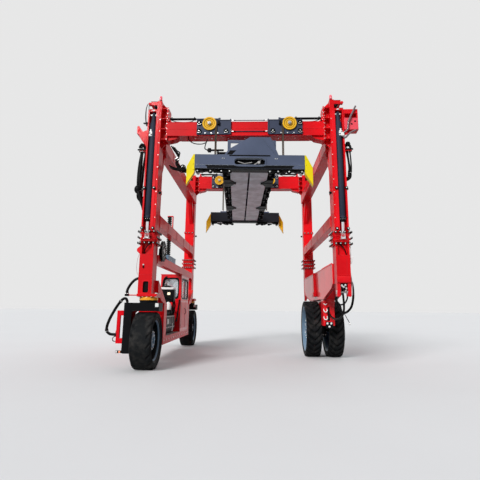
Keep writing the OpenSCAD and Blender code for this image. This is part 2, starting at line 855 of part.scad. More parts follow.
// Lower leg with its inner mast and rod seat, from z0 up
module lower_leg(z0) {
    half = leg_w / 2;
    difference() {
        union() {
            block(-half, half, -mast_d / 2, leg_out, z0, leg_top);
            block(-half, half, leg_front, leg_out, leg_top - 1, seat_z);
            translate([-inner_w / 2, -mast_d / 2 + tube_wall + slide_gap, leg_top - 1])
                cube([inner_w, inner_d, inner_top_z - leg_top + 1]);
        }
        block(-half + pocket_side, half - pocket_side, leg_out - pocket_d, leg_out + 1,
            seat_z - seat_t - pocket_h, seat_z - seat_t);
    }
}

module left_leg(sy) {
    color(red)
        placed()
            corner(-1, sy)
                difference() {
                    union() {
                        lower_leg(leg_foot_z);
                        translate([steer_x - mast_x - foot_w / 2, -foot_w / 2, foot_z])
                            cube([foot_w, foot_w, foot_t]);
                    }
                    translate([-20 - 65, leg_out - 60, leg_foot_z + 20])
                        cube([130, 61, 250]);
                }
}

// The front one carries an arm with the clamp of the steering hose
module leg_front_left() {
    left_leg(-1);
    color(red)
        placed() {
            rod_x(-steer_x - foot_w / 2 + 1, -clamp_x, -clamp_y, foot_z + foot_t / 2, 12);
            block(-clamp_x - 38, -clamp_x + 38, -clamp_y - 38, -clamp_y + 38, foot_z + 10, foot_z + foot_t);
        }
}

module leg_rear_left() {
    left_leg(1);
}

module right_leg(sy) {
    half = leg_w / 2;
    color(red)
        placed()
            corner(1, sy) {
                lower_leg(right_leg_low);
                for (s = [-1, 1])
                    translate([s * (half - 35) - 35, leg_out - 220, right_leg_low - 280])
                        cube([70, 200, 281]);
            }
}

module leg_front_right() {
    right_leg(-1);
}

module leg_rear_right() {
    right_leg(1);
}

// Steering fork with its side leg outside the tyre and a stub axle
module fork(sy) {
    half = left_tyre_w / 2;
    leg_in = half + fork_gap;
    top_low = fork_top_z - fork_top_h;
    side = -leg_in - fork_leg_t;
    color(black)
        placed()
            translate([-steer_x, sy * mast_y, 0])
                union() {
                    difference() {
                        union() {
                            block(-leg_in - fork_leg_t, fork_in, -fork_d / 2, fork_d / 2, top_low,
                                fork_top_z);
                            block(-leg_in - fork_leg_t, -leg_in, -fork_d / 2, fork_d / 2, fork_low_z,
                                fork_top_z);
                            block(-leg_in - 1, -leg_in + fork_round, -fork_d / 2, fork_d / 2,
                                top_low - fork_round, top_low + 1);
                        }
                        rod_y(-fork_d, fork_d, -leg_in + fork_round, top_low - fork_round, fork_round);
                    }
                    rod_x(-leg_in - 1, half - axle_end, 0, left_tyre_r, axle_r);
                    translate([0, 0, fork_top_z - 1])
                        cylinder(h = slew_seat + 1, r = slew_r - 10);
                    difference() {
                        block(side - guard_out, side + 1, -fork_d / 2 + 40, -fork_d / 2 + 100, guard_low,
                            guard_top);
                        block(side - guard_out + guard_rail, side + 2, -fork_d / 2, 0,
                            guard_low + 1.5 * guard_rail, guard_top - 1.5 * guard_rail);
                    }
                }
}

module fork_front_left() {
    fork(-1);
}

module fork_rear_left() {
    fork(1);
}

module slew_ring(sy) {
    color(yellow)
        placed()
            translate([-steer_x, sy * mast_y, fork_top_z + slew_seat])
                cylinder(h = slew_h - pin_gap, r = slew_r);
}

module slew_ring_front() {
    slew_ring(-1);
}

module slew_ring_rear() {
    slew_ring(1);
}

// Tyre of revolution about X with rounded shoulders
module tyre(r, w, rim_r, shoulder) {
    side = r - 2 * shoulder;
    bend = r - 0.6 * shoulder;
    half = w / 2;
    bend_w = half - 0.3 * shoulder;
    color(rubber)
        placed()
            rotate([0, 90, 0])
                rotate_extrude($fn = 96)
                    polygon([[rim_r, -half + 25], [side, -half], [bend, -bend_w], [r, shoulder - half],
                        [r, half - shoulder], [bend, bend_w], [side, half], [rim_r, half - 25]]);
}

// Rim of revolution about X; the disc lies on the side given by s, round a bore
module rim(rim_r, w, bore_r, hub_l, s) {
    color(steel_blue)
        placed()
            rotate([0, 90, 0])
                rotate_extrude($fn = 96)
                    union() {
                        translate([rim_r - 24, -w / 2 + 25])
                            square([24, w - 50]);
                        translate([bore_r, s > 0 ? w / 2 - 110 : -w / 2 + 80])
                            square([rim_r - 20 - bore_r, 30]);
                        translate([bore_r, s > 0 ? w / 2 - 80 - hub_l : -w / 2 + 80])
                            square([70, hub_l]);
                    }
}

module left_rim(sy) {
    translate([-steer_x, sy * mast_y, left_tyre_r])
        rim(left_rim_r, left_tyre_w, axle_r + pin_gap, 180, 1);
}

module left_tyre(sy) {
    translate([-steer_x, sy * mast_y, left_tyre_r])
        tyre(left_tyre_r, left_tyre_w, left_rim_r, 40);
}

module rim_front_left() {
    left_rim(-1);
}

module rim_rear_left() {
    left_rim(1);
}

module tyre_front_left() {
    left_tyre(-1);
}

module tyre_rear_left() {
    left_tyre(1);
}

module right_rim(s) {
    translate([twin_x + s * twin_pitch / 2, 0, right_axle_z])
        rim(right_rim_r, right_tyre_w, axle_r + pin_gap, 150, s);
}

module right_tyre(s) {
    translate([twin_x + s * twin_pitch / 2, 0, right_axle_z])
        tyre(right_tyre_r, right_tyre_w, right_rim_r, 46);
}

module rim_right_inner() {
    right_rim(-1);
}

module rim_right_outer() {
    right_rim(1);
}

module tyre_right_inner() {
    right_tyre(-1);
}

module tyre_right_outer() {
    right_tyre(1);
}

// Chassis box of the right side, its posts and the web between the twin tyres
module chassis_right() {
    post_x = twin_x - post_w / 2 + 30;
    color(red)
        placed()
            difference() {
                union() {
                    side_profile(side_box_x, side_box_w, [[-mast_in, side_box_top], [mast_in, side_box_top],
                        [mast_in, side_box_end + 90], [mast_in - 180, side_box_end],
                        [side_box_mid, side_box_low], [-side_box_mid, side_box_low],
                        [-mast_in + 180, side_box_end], [-mast_in, side_box_end + 90]]);
                    for (s = [-1, 1])
                        side_profile(post_x, post_w, [[s * post_y, side_box_low + 1],
                            [s * (post_y + post_d + 120), side_box_low + 1],
                            [s * (post_y + post_d), side_box_low - 220],
                            [s * (post_y + post_d), post_low], [s * post_y, post_low]]);
                    block(web_x, web_x + web_t, -post_y - 1, post_y + 1, post_low, side_box_low + 1);
                    side_profile(side_box_x - 60, 61, [[-40, side_box_top], [40, side_box_top],
                        [110, side_box_end], [-110, side_box_end]]);
                }
                translate([0, 0, right_axle_z])
                    rod_x(web_x - 1, web_x + web_t + 1, 0, 0, hub_r + 0.3);
            }
}

// Housing of the wheel drives with the two stub axles
module drive_housing() {
    axle_half = (twin_pitch + right_tyre_w) / 2 - axle_end;
    color(black)
        placed()
            union() {
                rod_x(web_x - 12, web_x + web_t + 12, 0, right_axle_z, hub_r);
                rod_x(twin_x - axle_half, twin_x + axle_half, 0, right_axle_z, axle_r);
                block(web_x + 5, web_x + web_t - 5, -hub_r - 40, hub_r + 40, 0.64 * post_low, post_low);
            }
}

// Bottom beam with a housing at each end and the shoulders up to the legs
module chassis_left() {
    x0 = -low_x;
    x1 = cab_x;
    front = -low_front;
    louvre_top = front_box_top - louvre_drop;
    color(red)
        placed()
            difference() {
                union() {
                    block(x1, x0, front, low_rear, low_z, low_z + low_h);
                    block(x1, x0, front, front + front_box_l, low_z, front_box_top);
                    block(x1, x0, cab_front + cab_l + 10, low_rear, low_z, front_box_top);
                    for (s = [-1, 1])
                        side_profile(-mast_x - 125, leg_w + 40, [[s * mast_in, front_box_top + 240],
                            [s * mast_in, front_box_top + 500], [s * (mast_in - 950), front_box_top - 1],
                            [s * (mast_in - 670), front_box_top - 1],
                            [s * (mast_in - 350), front_box_top + 60]]);
                }
                for (k = [0 : louvre_n - 1])
                    block(x0 - 40 - louvre_w, x0 - 40, front - 1, front + plate_t,
                        louvre_top - louvre_h - k * louvre_pitch, louvre_top - k * louvre_pitch);
                block(x1 + 60, x0 - 60, front + front_box_l - 200, front + front_box_l + 1,
                    low_z + low_h + 40, front_box_top - 80);
            }
}

// Cab shell with a sill, corner posts, a roof and open window bays
module cab_frame() {
    x0 = -low_x;
    x1 = cab_x;
    y0 = cab_front;
    y1 = cab_front + cab_l;
    sill = cab_floor + sill_h;
    head = cab_top - 110;
    color(red)
        placed()
            difference() {
                block(x1, x0, y0, y1, cab_floor, cab_top);
                block(x1 + 40, x0 - 40, y0 + 40, y1 - 40, cab_floor + 40, cab_top - 50);
                block(x1 + cab_post, x0 - cab_post, y0 - 1, y1 + 1, sill, head);
                block(x1 - 1, x0 + 1, y0 + cab_post, y1 - cab_post, sill, head);
            }
}

module cab_glass() {
    x0 = -low_x - 16;
    x1 = cab_x + 16;
    y0 = cab_front + 16;
    y1 = cab_front + cab_l - 16;
    sill = cab_floor + sill_h;
    head = cab_top - 110;
    color([0.6, 0.7, 0.75, 0.4])
        placed() {
            for (y = [y0, y1 - glass_t])
                block(-low_x - cab_post, cab_x + cab_post, y, y + glass_t, sill, head);
            for (x = [x1, x0 - glass_t])
                block(x, x + glass_t, cab_front + cab_post, cab_front + cab_l - cab_post, sill, head);
        }
}

// Engine, radiator, air filter and exhaust in the open bay
module engine() {
    y0 = -low_front + front_box_l;
    y1 = cab_front;
    x0 = cab_x + 150;
    top = cab_floor + engine_h;
    color(black)
        placed() {
            block(x0, x0 + engine_w, y0 + 1.8 * cooler_t, y1 - 160, cab_floor, top);
            block(x0 + 50, x0 + engine_w - 60, y0 + 3 * cooler_t, y1 - 400, top - 1, top + filter_h);
            block(x0 - 90, x0 - 90 + cooler_w, y0 + 30, y0 + 30 + cooler_t, cab_floor, front_box_top - 80);
            translate([x0 + 220, y1 - exhaust_r - 10, cab_floor])
                cylinder(h = exhaust_h, r = exhaust_r);
        }
}

module tie_beam_left() {
    color(red)
        placed() {
            block(tie_x - tie_w, tie_x, -mast_in, mast_in, tie_z, tie_z + tie_h);
            block(tie_x - tie_w + 20, tie_x - 10, tie_box_y, tie_box_y + tie_box_l, tie_z + tie_h - 1,
                tie_z + tie_h + tie_box_h);
            block(chain_x - 20, tie_x - tie_w + 1, chain_y - 40, chain_y + chain_t + 40, tie_z + tie_h - 20,
                tie_z + tie_h);
        }
}

// Reel on the inner side of the tie beam with its bracket
module cable_reel() {
    y = -reel_y;
    z = tie_z + reel_up;
    color(black)
        placed() {
            rod_x(tie_x - 50, tie_x + 60, y, z, 0.16 * reel_r);
            rod_x(tie_x + 5, tie_x + 17, y, z, reel_r);
            rod_x(tie_x + 48, tie_x + 60, y, z, reel_r);
            rod_x(tie_x + 16, tie_x + 49, y, z, 0.76 * reel_r);
            block(tie_x - 60, tie_x - 30, y - 60, y + 60, tie_z + tie_h, z + 60);
        }
}

module energy_chain() {
    color(black)
        placed()
            block(chain_x, chain_x + chain_w, chain_y, chain_y + chain_t, tie_z + tie_h, chain_top);
}

// Saddles of one crossbeam, tied by two rods; reach is the length of the sheave bracket
module trolley_pair(cx, plate_y, beam_y, z, h, reach, sheave_z) {
    top = z + h + trolley_up;
    low = z + trolley_lift;
    back = beam_y + face_d + trolley_gap;
    translate([cx, 0, 0]) {
        for (s = [-1, 1]) {
            block(s * trolley_in, s * trolley_out, plate_y, plate_y + trolley_t, low, top);
            block(s * trolley_in, s * trolley_out, back, back + trolley_t, low, top);
            block(s * trolley_in, s * trolley_out, plate_y, back + trolley_t, z + h + ride_gap, top);
            for (p = [[trolley_out - 60, top - 80], [trolley_out - 60, low + 80],
                [trolley_in + 110, low + 80]])
                rod_y(plate_y - boss_h, plate_y + 1, s * p[0], p[1], boss_r);
            if (reach > 0)
                block(s * (sheave_x - 90), s * (sheave_x + 90), plate_y - reach, plate_y + 1,
                    sheave_z - 90, sheave_z + 90);
            rod_y(plate_y - reach - sheave_gap - sheave_w - 14, plate_y - reach + 1, s * sheave_x, sheave_z,
                sheave_pin_r);
            block(s * (shift_lug - 25), s * (shift_lug + 25), beam_y - face_d + shift_y - 22,
                beam_y - face_d + shift_y + 22, top - 1, z + h + shift_up + 24);
            rod_x(s * (shift_lug + 20), s * shift_end - cx, beam_y - face_d + shift_y, z + h + shift_up,
                shift_rod_r);
        }
        rod_x(-trolley_in - 5, trolley_in + 5, plate_y + trolley_t / 2, top - 12, tie_rod_r);
        rod_x(-trolley_in - 5, trolley_in + 5, plate_y + trolley_t / 2, low + 80, tie_rod_r);
    }
}

module trolleys_front() {
    color(dark)
        placed()
            trolley_pair(trolley_front_x, front_plate_y, -mast_y, front_beam_z, front_beam_h, 0,
                front_sheave_z);
}

module trolleys_rear() {
    color(dark)
        placed()
            trolley_pair(trolley_rear_x, rear_plate_y, mast_y, rear_beam_z, rear_beam_h, rear_reach,
                rear_sheave_z);
}

module sheave(x, y, z) {
    r = sheave_r - groove_d;
    edge = sheave_r + sheave_rim;
    color(yellow)
        placed()
            translate([x, y, z])
                rotate([90, 0, 0])
                    rotate_extrude($fn = 96)
                        polygon([[sheave_pin_r + pin_gap, -sheave_w / 2], [edge, -sheave_w / 2],
                            [edge, -groove_w / 2], [r, -groove_w / 2], [r, groove_w / 2],
                            [edge, groove_w / 2], [edge, sheave_w / 2],
                            [sheave_pin_r + pin_gap, sheave_w / 2]]);
}

module sheave_front_left() {
    sheave(trolley_front_x - sheave_x, front_sheave_y, front_sheave_z);
}

module sheave_front_right() {
    sheave(trolley_front_x + sheave_x, front_sheave_y, front_sheave_z);
}

module sheave_rear_left() {
    sheave(trolley_rear_x - sheave_x, rear_sheave_y, rear_sheave_z);
}

module sheave_rear_right() {
    sheave(trolley_rear_x + sheave_x, rear_sheave_y, rear_sheave_z);
}

module ropes(cx, y, z) {
    for (s = [-1, 1])
        translate([cx + s * rope_half, y, rope_low])
            cylinder(h = z - rope_low, r = rope_r, $fn = 24);
}

module hoist_ropes_front() {
    color(black)
        placed()
            ropes(trolley_front_x, front_sheave_y, front_sheave_z);
}

module hoist_ropes_rear() {
    color(black)
        placed()
            ropes(trolley_rear_x, rear_sheave_y, rear_sheave_z);
}

// Places its children in the turned frame of the spreader
module on_spreader() {
    translate([spread_x, spread_y, 0])
        rotate([0, 0, skew])
            children();
}

module sleeve(s) {
    difference() {
        translate([s * sleeve_x - sleeve_w / 2, -main_l / 2, sleeve_z])
            cube([sleeve_w, main_l, sleeve_h]);
        translate([s * sleeve_x - sleeve_w / 2 + sleeve_wall, -main_l / 2 - 1, sleeve_z + sleeve_wall])
            cube([sleeve_w - 2 * sleeve_wall, main_l + 2, sleeve_h - 2 * sleeve_wall]);
    }
}

module spreader_frame() {
    front_v = front_sheave_y - spread_y;
    rear_v = rear_sheave_y - spread_y;
    head_v = -main_l / 2;
    color(dark)
        placed() {
            on_spreader() {
                for (s = [-1, 1])
                    sleeve(s);
                for (v = [-0.47, -0.16, 0.16, 0.47])
                    block(-sleeve_gap / 2 - 1, sleeve_gap / 2 + 1, v * main_l - 60, v * main_l + 60,
                        sleeve_z + 60, sleeve_top);
                block(-head_w / 2, head_w / 2, front_v, -head_v, sleeve_top - 0.5, anchor_z);
                block(-head_w / 2, head_w / 2, -head_v - 1, rear_v, sleeve_top + 20, anchor_z);
                for (v = [front_v, rear_v])
                    block(-arm_half, arm_half, v - arm_d / 2, v + arm_d / 2, sleeve_top + 20, anchor_z);
                face_profile(head_v, head_plate_t, [[-640, sleeve_top - 1],
                    [-460, sleeve_top + 240], [20, head_top_z],
                    [480, head_top_z], [700, sleeve_top - 1]]);
                difference() {
                    block(-500, 620, head_v + 180, head_v + 180 + head_plate_t, sleeve_top - 1, head_top_z);
                    face_profile(head_v + 170, 60, [[-430, head_top_z - 70], [-230, head_top_z - 70],
                        [-430, head_top_z - 190]]);
                }
                block(-440, 560, head_v, head_v + 190, sleeve_top - 1, sleeve_top + 40);
                block(-60, 120, head_v + 10, head_v + 190, sleeve_top, head_top_z - 40);
            }
            for (s = [-1, 1]) {
                translate([trolley_front_x + s * rope_half, front_sheave_y, anchor_z - 1])
                    cylinder(h = socket_h + 1, r = socket_r);
                translate([trolley_rear_x + s * rope_half, rear_sheave_y, anchor_z - 1])
                    cylinder(h = socket_h + 1, r = socket_r);
            }
        }
}

// End beam with its slot, sliding beam and twist locks; s is -1 in front and 1 behind
module spreader_end(s) {
    v0 = s * spread_l / 2;
    v1 = s * (spread_l / 2 - end_d);
    slide_z = sleeve_z + sleeve_wall + foot_gap;
    slot_half = (slot_l - slot_h) / 2;
    slot_mid = spread_z + end_h / 2;
    half = spread_w / 2 - guide_t;
    color(dark)
        placed()
            on_spreader()
                difference() {
                    union() {
                        block(-half, half, v0, v1, spread_z, spread_z + end_h);
                        block(-s * sleeve_x - slide_w / 2, -s * sleeve_x + slide_w / 2,
                            v1 + s * 1, v1 - s * slide_l, slide_z, slide_z + slide_h);
                        for (x = [-1, 1])
                            translate([x * 1130, v0 - s * 90, spread_z - 70])
                                cylinder(h = 71, r = 26);
                        for (x = [-1, 1])
                            translate([x * 1130, v0 - s * 90, spread_z - 110])
                                cylinder(h = 50, r1 = 16, r2 = 34);
                    }
                    block(-slot_half, slot_half, v0 + s, v0 - s * slot_d, slot_mid - slot_h / 2,
                        slot_mid + slot_h / 2);
                    for (x = [-1, 1])
                        rod_y(v0 + s, v0 - s * slot_d, x * slot_half, slot_mid, slot_h / 2);
                }
}

module spreader_end_front() {
    spreader_end(-1);
}

module spreader_end_rear() {
    spreader_end(1);
}

// Flared corner guides at both ends of an end beam
module guides(s) {
    v0 = s * spread_l / 2;
    half = spread_w / 2 - guide_t;
    top = spread_z + end_h;
    color([0.98, 0.82, 0.05])
        placed()
            on_spreader()
                for (x = [-1, 1])
                    mirror([x < 0 ? 1 : 0, 0, 0]) {
                        face_profile(min(v0, v0 - s * guide_t), guide_t, [[half, top], [half + 30, top],
                            [half + guide_out, top - 0.4 * guide_h], [half + guide_out, top - guide_h],
                            [half, top - 0.6 * guide_h]]);
                        face_profile(min(v0, v0 - s * guide_d), guide_d, [[half, top], [half + guide_t, top],
                            [half + guide_t, top - 0.57 * guide_h], [half + guide_out, top - guide_h + 30],
                            [half + guide_out, top - guide_h], [half, top - 0.6 * guide_h]]);
                    }
}

module guides_front() {
    guides(-1);
}

module guides_rear() {
    guides(1);
}

module hose_steer_upper() {
    color(black)
        placed()
            hose(steer_upper, 32, [0, 1, 0]);
}

module hose_steer_lower() {
    color(black)
        placed()
            hose(steer_lower, 32, [0, 1, 0]);
}

module hose_bundle_left() {
    color(black)
        placed()
            hose(left_bundle, 60, [0, 1, 0]);
}

module hose_bundle_right() {
    color(black)
        placed()
            hose(right_bundle, 50, [0, 1, 0]);
}

module hose_drive_right() {
    color(black)
        placed()
            hose(drive_hose, 24, [1, 0, 0]);
}

front_crossbeam();
rear_crossbeam();
mast_front_left();
mast_front_right();
mast_rear_left();
mast_rear_right();
side_frame_left();
side_frame_right();
lift_barrels();
beacons();
mast_brackets();
shift_barrels();
leg_front_left();
leg_rear_left();
leg_front_right();
leg_rear_right();
lift_rods_left();
lift_rods_right();
chassis_left();
cab_frame();
cab_glass();
engine();
tie_beam_left();
cable_reel();
energy_chain();
fork_front_left();
fork_rear_left();
slew_ring_front();
slew_ring_rear();
rim_front_left();
rim_rear_left();
tyre_front_left();
tyre_rear_left();
chassis_right();
drive_housing();
rim_right_inner();
rim_right_outer();
tyre_right_inner();
tyre_right_outer();
trolleys_front();
trolleys_rear();
sheave_front_left();
sheave_front_right();
sheave_rear_left();
sheave_rear_right();
hoist_ropes_front();
hoist_ropes_rear();
spreader_frame();
spreader_end_front();
spreader_end_rear();
guides_front();
guides_rear();
hose_steer_upper();
hose_steer_lower();
hose_bundle_left();
hose_bundle_right();
hose_drive_right();
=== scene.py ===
"""Looks of a rubber tyred gantry crane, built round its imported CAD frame.

Lengths are in metres. Pieces are worked out from the middle between the four masts, on the ground, and
Piece.build moves them into the shared frame. X runs across the portal, Y along the travel direction, Z up.
"""

import logging
import math
from dataclasses import dataclass
from enum import Enum
from typing import Iterable, Sequence, Union

import bpy
import numpy as np
from mathutils import Matrix


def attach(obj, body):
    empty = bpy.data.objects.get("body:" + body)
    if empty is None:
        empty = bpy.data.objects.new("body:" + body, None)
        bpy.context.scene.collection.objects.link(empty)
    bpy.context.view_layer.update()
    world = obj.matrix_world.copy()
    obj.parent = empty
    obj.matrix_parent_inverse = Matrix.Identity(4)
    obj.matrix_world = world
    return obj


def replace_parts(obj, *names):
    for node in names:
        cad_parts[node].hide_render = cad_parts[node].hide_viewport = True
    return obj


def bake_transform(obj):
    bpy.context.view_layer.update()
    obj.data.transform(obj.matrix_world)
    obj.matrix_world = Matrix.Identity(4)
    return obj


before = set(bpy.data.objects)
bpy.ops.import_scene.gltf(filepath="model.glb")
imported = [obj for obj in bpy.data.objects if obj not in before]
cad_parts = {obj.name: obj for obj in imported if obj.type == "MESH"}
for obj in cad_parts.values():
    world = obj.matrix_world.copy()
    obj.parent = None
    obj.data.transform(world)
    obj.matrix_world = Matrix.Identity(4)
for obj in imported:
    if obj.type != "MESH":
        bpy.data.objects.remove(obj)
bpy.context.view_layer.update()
log = logging.getLogger("crane")
MIDDLE = np.array([0.0, 0.115, 0.0])
Number = Union[float, "Value"]


# Shader maths
class Value:
    """A shader socket that takes part in sums and products."""

    def __init__(self, graph: "Graph", socket: bpy.types.NodeSocket) -> None:
        """Keeps the graph and the socket."""
        self.graph, self.socket = graph, socket

    def _math(self, operation: str, a: object, b: object = 0.0) -> "Value":
        """Adds one Math node for a and b."""
        return self.graph.node("ShaderNodeMath", {"operation": operation}, {0: a, 1: b})

    def __add__(self, other: Number) -> "Value":
        """Sum."""
        return self._math("ADD", self, other)

    def __sub__(self, other: Number) -> "Value":
        """Difference."""
        return self._math("SUBTRACT", self, other)

    def __rsub__(self, other: Number) -> "Value":
        """Difference from a plain number."""
        return self._math("SUBTRACT", other, self)

    def __mul__(self, other: Number) -> "Value":
        """Product."""
        return self._math("MULTIPLY", self, other)

    __radd__ = __add__
    __rmul__ = __mul__

    def clip(self, low: float, high: float) -> "Value":
        """Rises smoothly from 0 at low to 1 at high."""
        return self.graph.node("ShaderNodeMapRange", {"interpolation_type": "SMOOTHSTEP"},
                               {0: self, 1: low, 2: high, 3: 0.0, 4: 1.0})


class Graph:
    """The node tree of one material, with a Principled shader at its end."""

    def __init__(self, name: str) -> None:
        """Makes an empty material.

        Args:
            name: the material's name.
        """
        self.material = bpy.data.materials.new(name)
        self.material.use_nodes = True
        self.tree = self.material.node_tree
        self.tree.nodes.clear()
        self.shader = self.tree.nodes.new("ShaderNodeBsdfPrincipled")
        out = self.tree.nodes.new("ShaderNodeOutputMaterial")
        self.tree.links.new(self.shader.outputs[0], out.inputs[0])

    def node(self, kind: str, settings: dict, inputs: dict, output: Union[int, str] = 0) -> Value:
        """Adds a node.

        Args:
            kind: the node's type.
            settings: attributes that are set first.
            inputs: a value, colour or Value for each socket, by number or name.
            output: the output wanted.

        Returns:
            The output as a Value.
        """
        made = self.tree.nodes.new(kind)
        for key, value in settings.items():
            setattr(made, key, value)
        self.feed(made, inputs)
        return Value(self, made.outputs[output])

    def feed(self, node: bpy.types.Node, inputs: dict) -> None:
        """Sets or links the inputs of a node.

        Args:
            node: the node.
            inputs: a value, colour or Value for each socket, by number or name.
        """
        for key, value in inputs.items():
            if isinstance(value, Value):
                self.tree.links.new(value.socket, node.inputs[key])
            else:
                node.inputs[key].default_value = value

    def place(self, scale: Sequence[float] = (1, 1, 1)) -> Value:
        """Object coordinates, stretched by scale."""
        here = self.node("ShaderNodeTexCoord", {}, {}, "Object")
        return self.node("ShaderNodeMapping", {}, {"Vector": here, "Scale": tuple(scale)})

    def noise(self, scale: float, detail: float = 4.0, stretch: Sequence[float] = (1, 1, 1)) -> Value:
        """Cloudy noise on Object coordinates.

        Args:
            scale: how small the clouds are.
            detail: how many finer layers they have.
            stretch: factors along X, Y and Z.

        Returns:
            A value from 0 to 1.
        """
        return self.node("ShaderNodeTexNoise", {},
                         {"Vector": self.place(stretch), "Scale": scale, "Detail": detail,
                          "Roughness": 0.6}, "Fac")

    def part(self, axis: str, of: str = "Object") -> Value:
        """One part of the Object coordinates or of the surface's normal.

        Args:
            axis: X, Y or Z.
            of: Object or Normal.

        Returns:
            The part.
        """
        if of == "Object":
            vector = self.node("ShaderNodeTexCoord", {}, {}, "Object")
        else:
            vector = self.node("ShaderNodeNewGeometry", {}, {}, of)
        return self.node("ShaderNodeSeparateXYZ", {}, {0: vector}, axis)

    def mix(self, share: Number, a: object, b: object) -> Value:
        """Colour that goes from a to b with share."""
        return self.node("ShaderNodeMix", {"data_type": "RGBA"}, {0: share, 6: a, 7: b}, 2)

    def edges(self, radius: float) -> tuple[Value, Value]:
        """Finds the edges, where the rounded normal departs from the flat one.

        Args:
            radius: how wide an edge is.

        Returns:
            The rounded normal, and a mask that is 1 on an outer edge.
        """
        soft = self.node("ShaderNodeBevel", {"samples": 4}, {"Radius": radius})
        flat = self.node("ShaderNodeNewGeometry", {}, {}, "Normal")
        same = self.node("ShaderNodeVectorMath", {"operation": "DOT_PRODUCT"}, {0: soft, 1: flat}, "Value")
        return soft, (1.0 - same).clip(0.02, 0.25)

    def bump(self, height: Value, strength: float, distance: float, normal: Value | None = None) -> Value:
        """Bumped normal from a height.

        Args:
            height: the height.
            strength: from 0 to 1.
            distance: how tall a height of 1 is.
            normal: the normal that it starts from, or None for the surface's own.

        Returns:
            The normal.
        """
        inputs: dict = {"Height": height, "Strength": strength, "Distance": distance}
        if normal is not None:
            inputs["Normal"] = normal
        return self.node("ShaderNodeBump", {}, inputs)

    def done(self, inputs: dict) -> bpy.types.Material:
        """Feeds the shader and returns the material."""
        self.feed(self.shader, inputs)
        return self.material


def rgb(red: int, green: int, blue: int) -> tuple[float, float, float, float]:
    """Linear colour from display values.

    Args:
        red: 0 to 255.
        green: 0 to 255.
        blue: 0 to 255.

    Returns:
        The colour with an alpha of 1.
    """
    def line(v: float) -> float:
        """Undoes the display curve of one channel."""
        return v / 12.92 if v <= 0.04045 else ((v + 0.055) / 1.055) ** 2.4
    return line(red / 255), line(green / 255), line(blue / 255), 1.0


@dataclass(frozen=True)
class Finish:
    """What all finishes share: a name, a colour and the record's slot."""
    name: str
    colour: tuple[float, float, float, float]
    slot: str

    def material(self) -> bpy.types.Material:
        """The finish's material, made once."""
        return bpy.data.materials.get(self.name) or self.make(Graph(self.name))

    def make(self, g: Graph) -> bpy.types.Material:
        """Fills the graph; each kind of finish has its own."""
        raise NotImplementedError


@dataclass(frozen=True)
class Paint(Finish):
    """Sprayed gloss paint with faded clouds, run-off streaks, settled dust, and pale edges that are part worn
    paint and part painted highlight.
    """
    rough: float = 0.32
    coat: float = 0.25
    dust: float = 0.1
    streaks: float = 0.2
    # How strongly the pale edges show; they are part worn paint, part painted highlight.
    edge_wear_and_highlight: float = 0.35
    shine: float = 0.12
    under: tuple[float, float, float, float] | None = None
    outside: tuple[float, tuple[float, float, float, float]] | None = None

    def make(self, g: Graph) -> bpy.types.Material:
        """Colour clouds, streaks that run down, dust on top faces and pale edges, part worn paint and part
        painted highlight.

        Args:
            g: the empty graph.

        Returns:
            The material.
        """
        clouds = g.noise(0.9, 5.0)
        run = g.noise(1.0, 5.0, (9, 9, 0.5))
        grain = g.noise(60.0, 3.0)
        soft, edge = g.edges(0.008)
        up = g.part("Z", "Normal")
        c = self.colour
        deep = (c[0] * 0.78, c[1] * 0.8, c[2] * 0.8, 1.0)
        pale = tuple(min(1.0, v * 1.06) for v in c[:3]) + (1.0,)
        colour = g.mix(clouds.clip(0.32, 0.68), deep, pale)
        if self.under is not None:
            shade = tuple(v * 0.68 for v in self.under[:3]) + (1.0,)
            patch = g.mix(g.noise(3.0, 6.0).clip(0.35, 0.65), shade, self.under)
            colour = g.mix((0.0 - up).clip(0.5, 0.7), colour, patch)
        if self.outside is not None:
            limit, other = self.outside
            colour = g.mix((limit - g.part("X")).clip(0.0, 0.001), colour, other)
        dirt = tuple(v * 0.45 + 0.02 for v in c[:3]) + (1.0,)
        colour = g.mix(run.clip(0.54, 0.8) * self.streaks, colour, dirt)
        dusty = (up.clip(0.3, 0.95) * (0.35 + g.noise(6.0, 6.0))).clip(0.1, 1.2) * self.dust
        colour = g.mix(dusty, colour, rgb(190, 178, 168))
        # Pale tint on the edges: part worn paint, part painted highlight.
        worn_and_highlit_edges = edge * (grain + clouds).clip(0.85, 1.2) * self.edge_wear_and_highlight
        colour = g.mix(worn_and_highlit_edges, colour, tuple(v * 0.7 + 0.2 for v in c[:3]) + (1.0,))
        rough = self.rough + run * 0.14 + dusty * 0.5
        return g.done({"Base Color": colour, "Roughness": rough, "Coat Weight": self.coat,
                       "Coat Roughness": 0.08, "Specular IOR Level": self.shine,
                       "Normal": g.bump(grain, 0.08, 0.002, soft)})


@dataclass(frozen=True)
class Metal(Finish):
    """Bare, zinc plated or chromed steel with fine turning marks and smudges."""
    rough: float = 0.2
    marks: float = 0.15

    def make(self, g: Graph) -> bpy.types.Material:
        """Smudged roughness over a bright metal.

        Args:
            g: the empty graph.

        Returns:
            The material.
        """
        smudge = g.noise(7.0, 6.0)
        fine = g.noise(14.0, 2.0, (1, 1, 30))
        dark = tuple(v * 0.7 for v in self.colour[:3]) + (1.0,)
        return g.done({"Base Color": g.mix(smudge.clip(0.4, 0.7) * 0.6, self.colour, dark), "Metallic": 1.0,
                       "Roughness": self.rough + smudge * self.marks,
                       "Normal": g.bump(fine, 0.06, 0.001)})


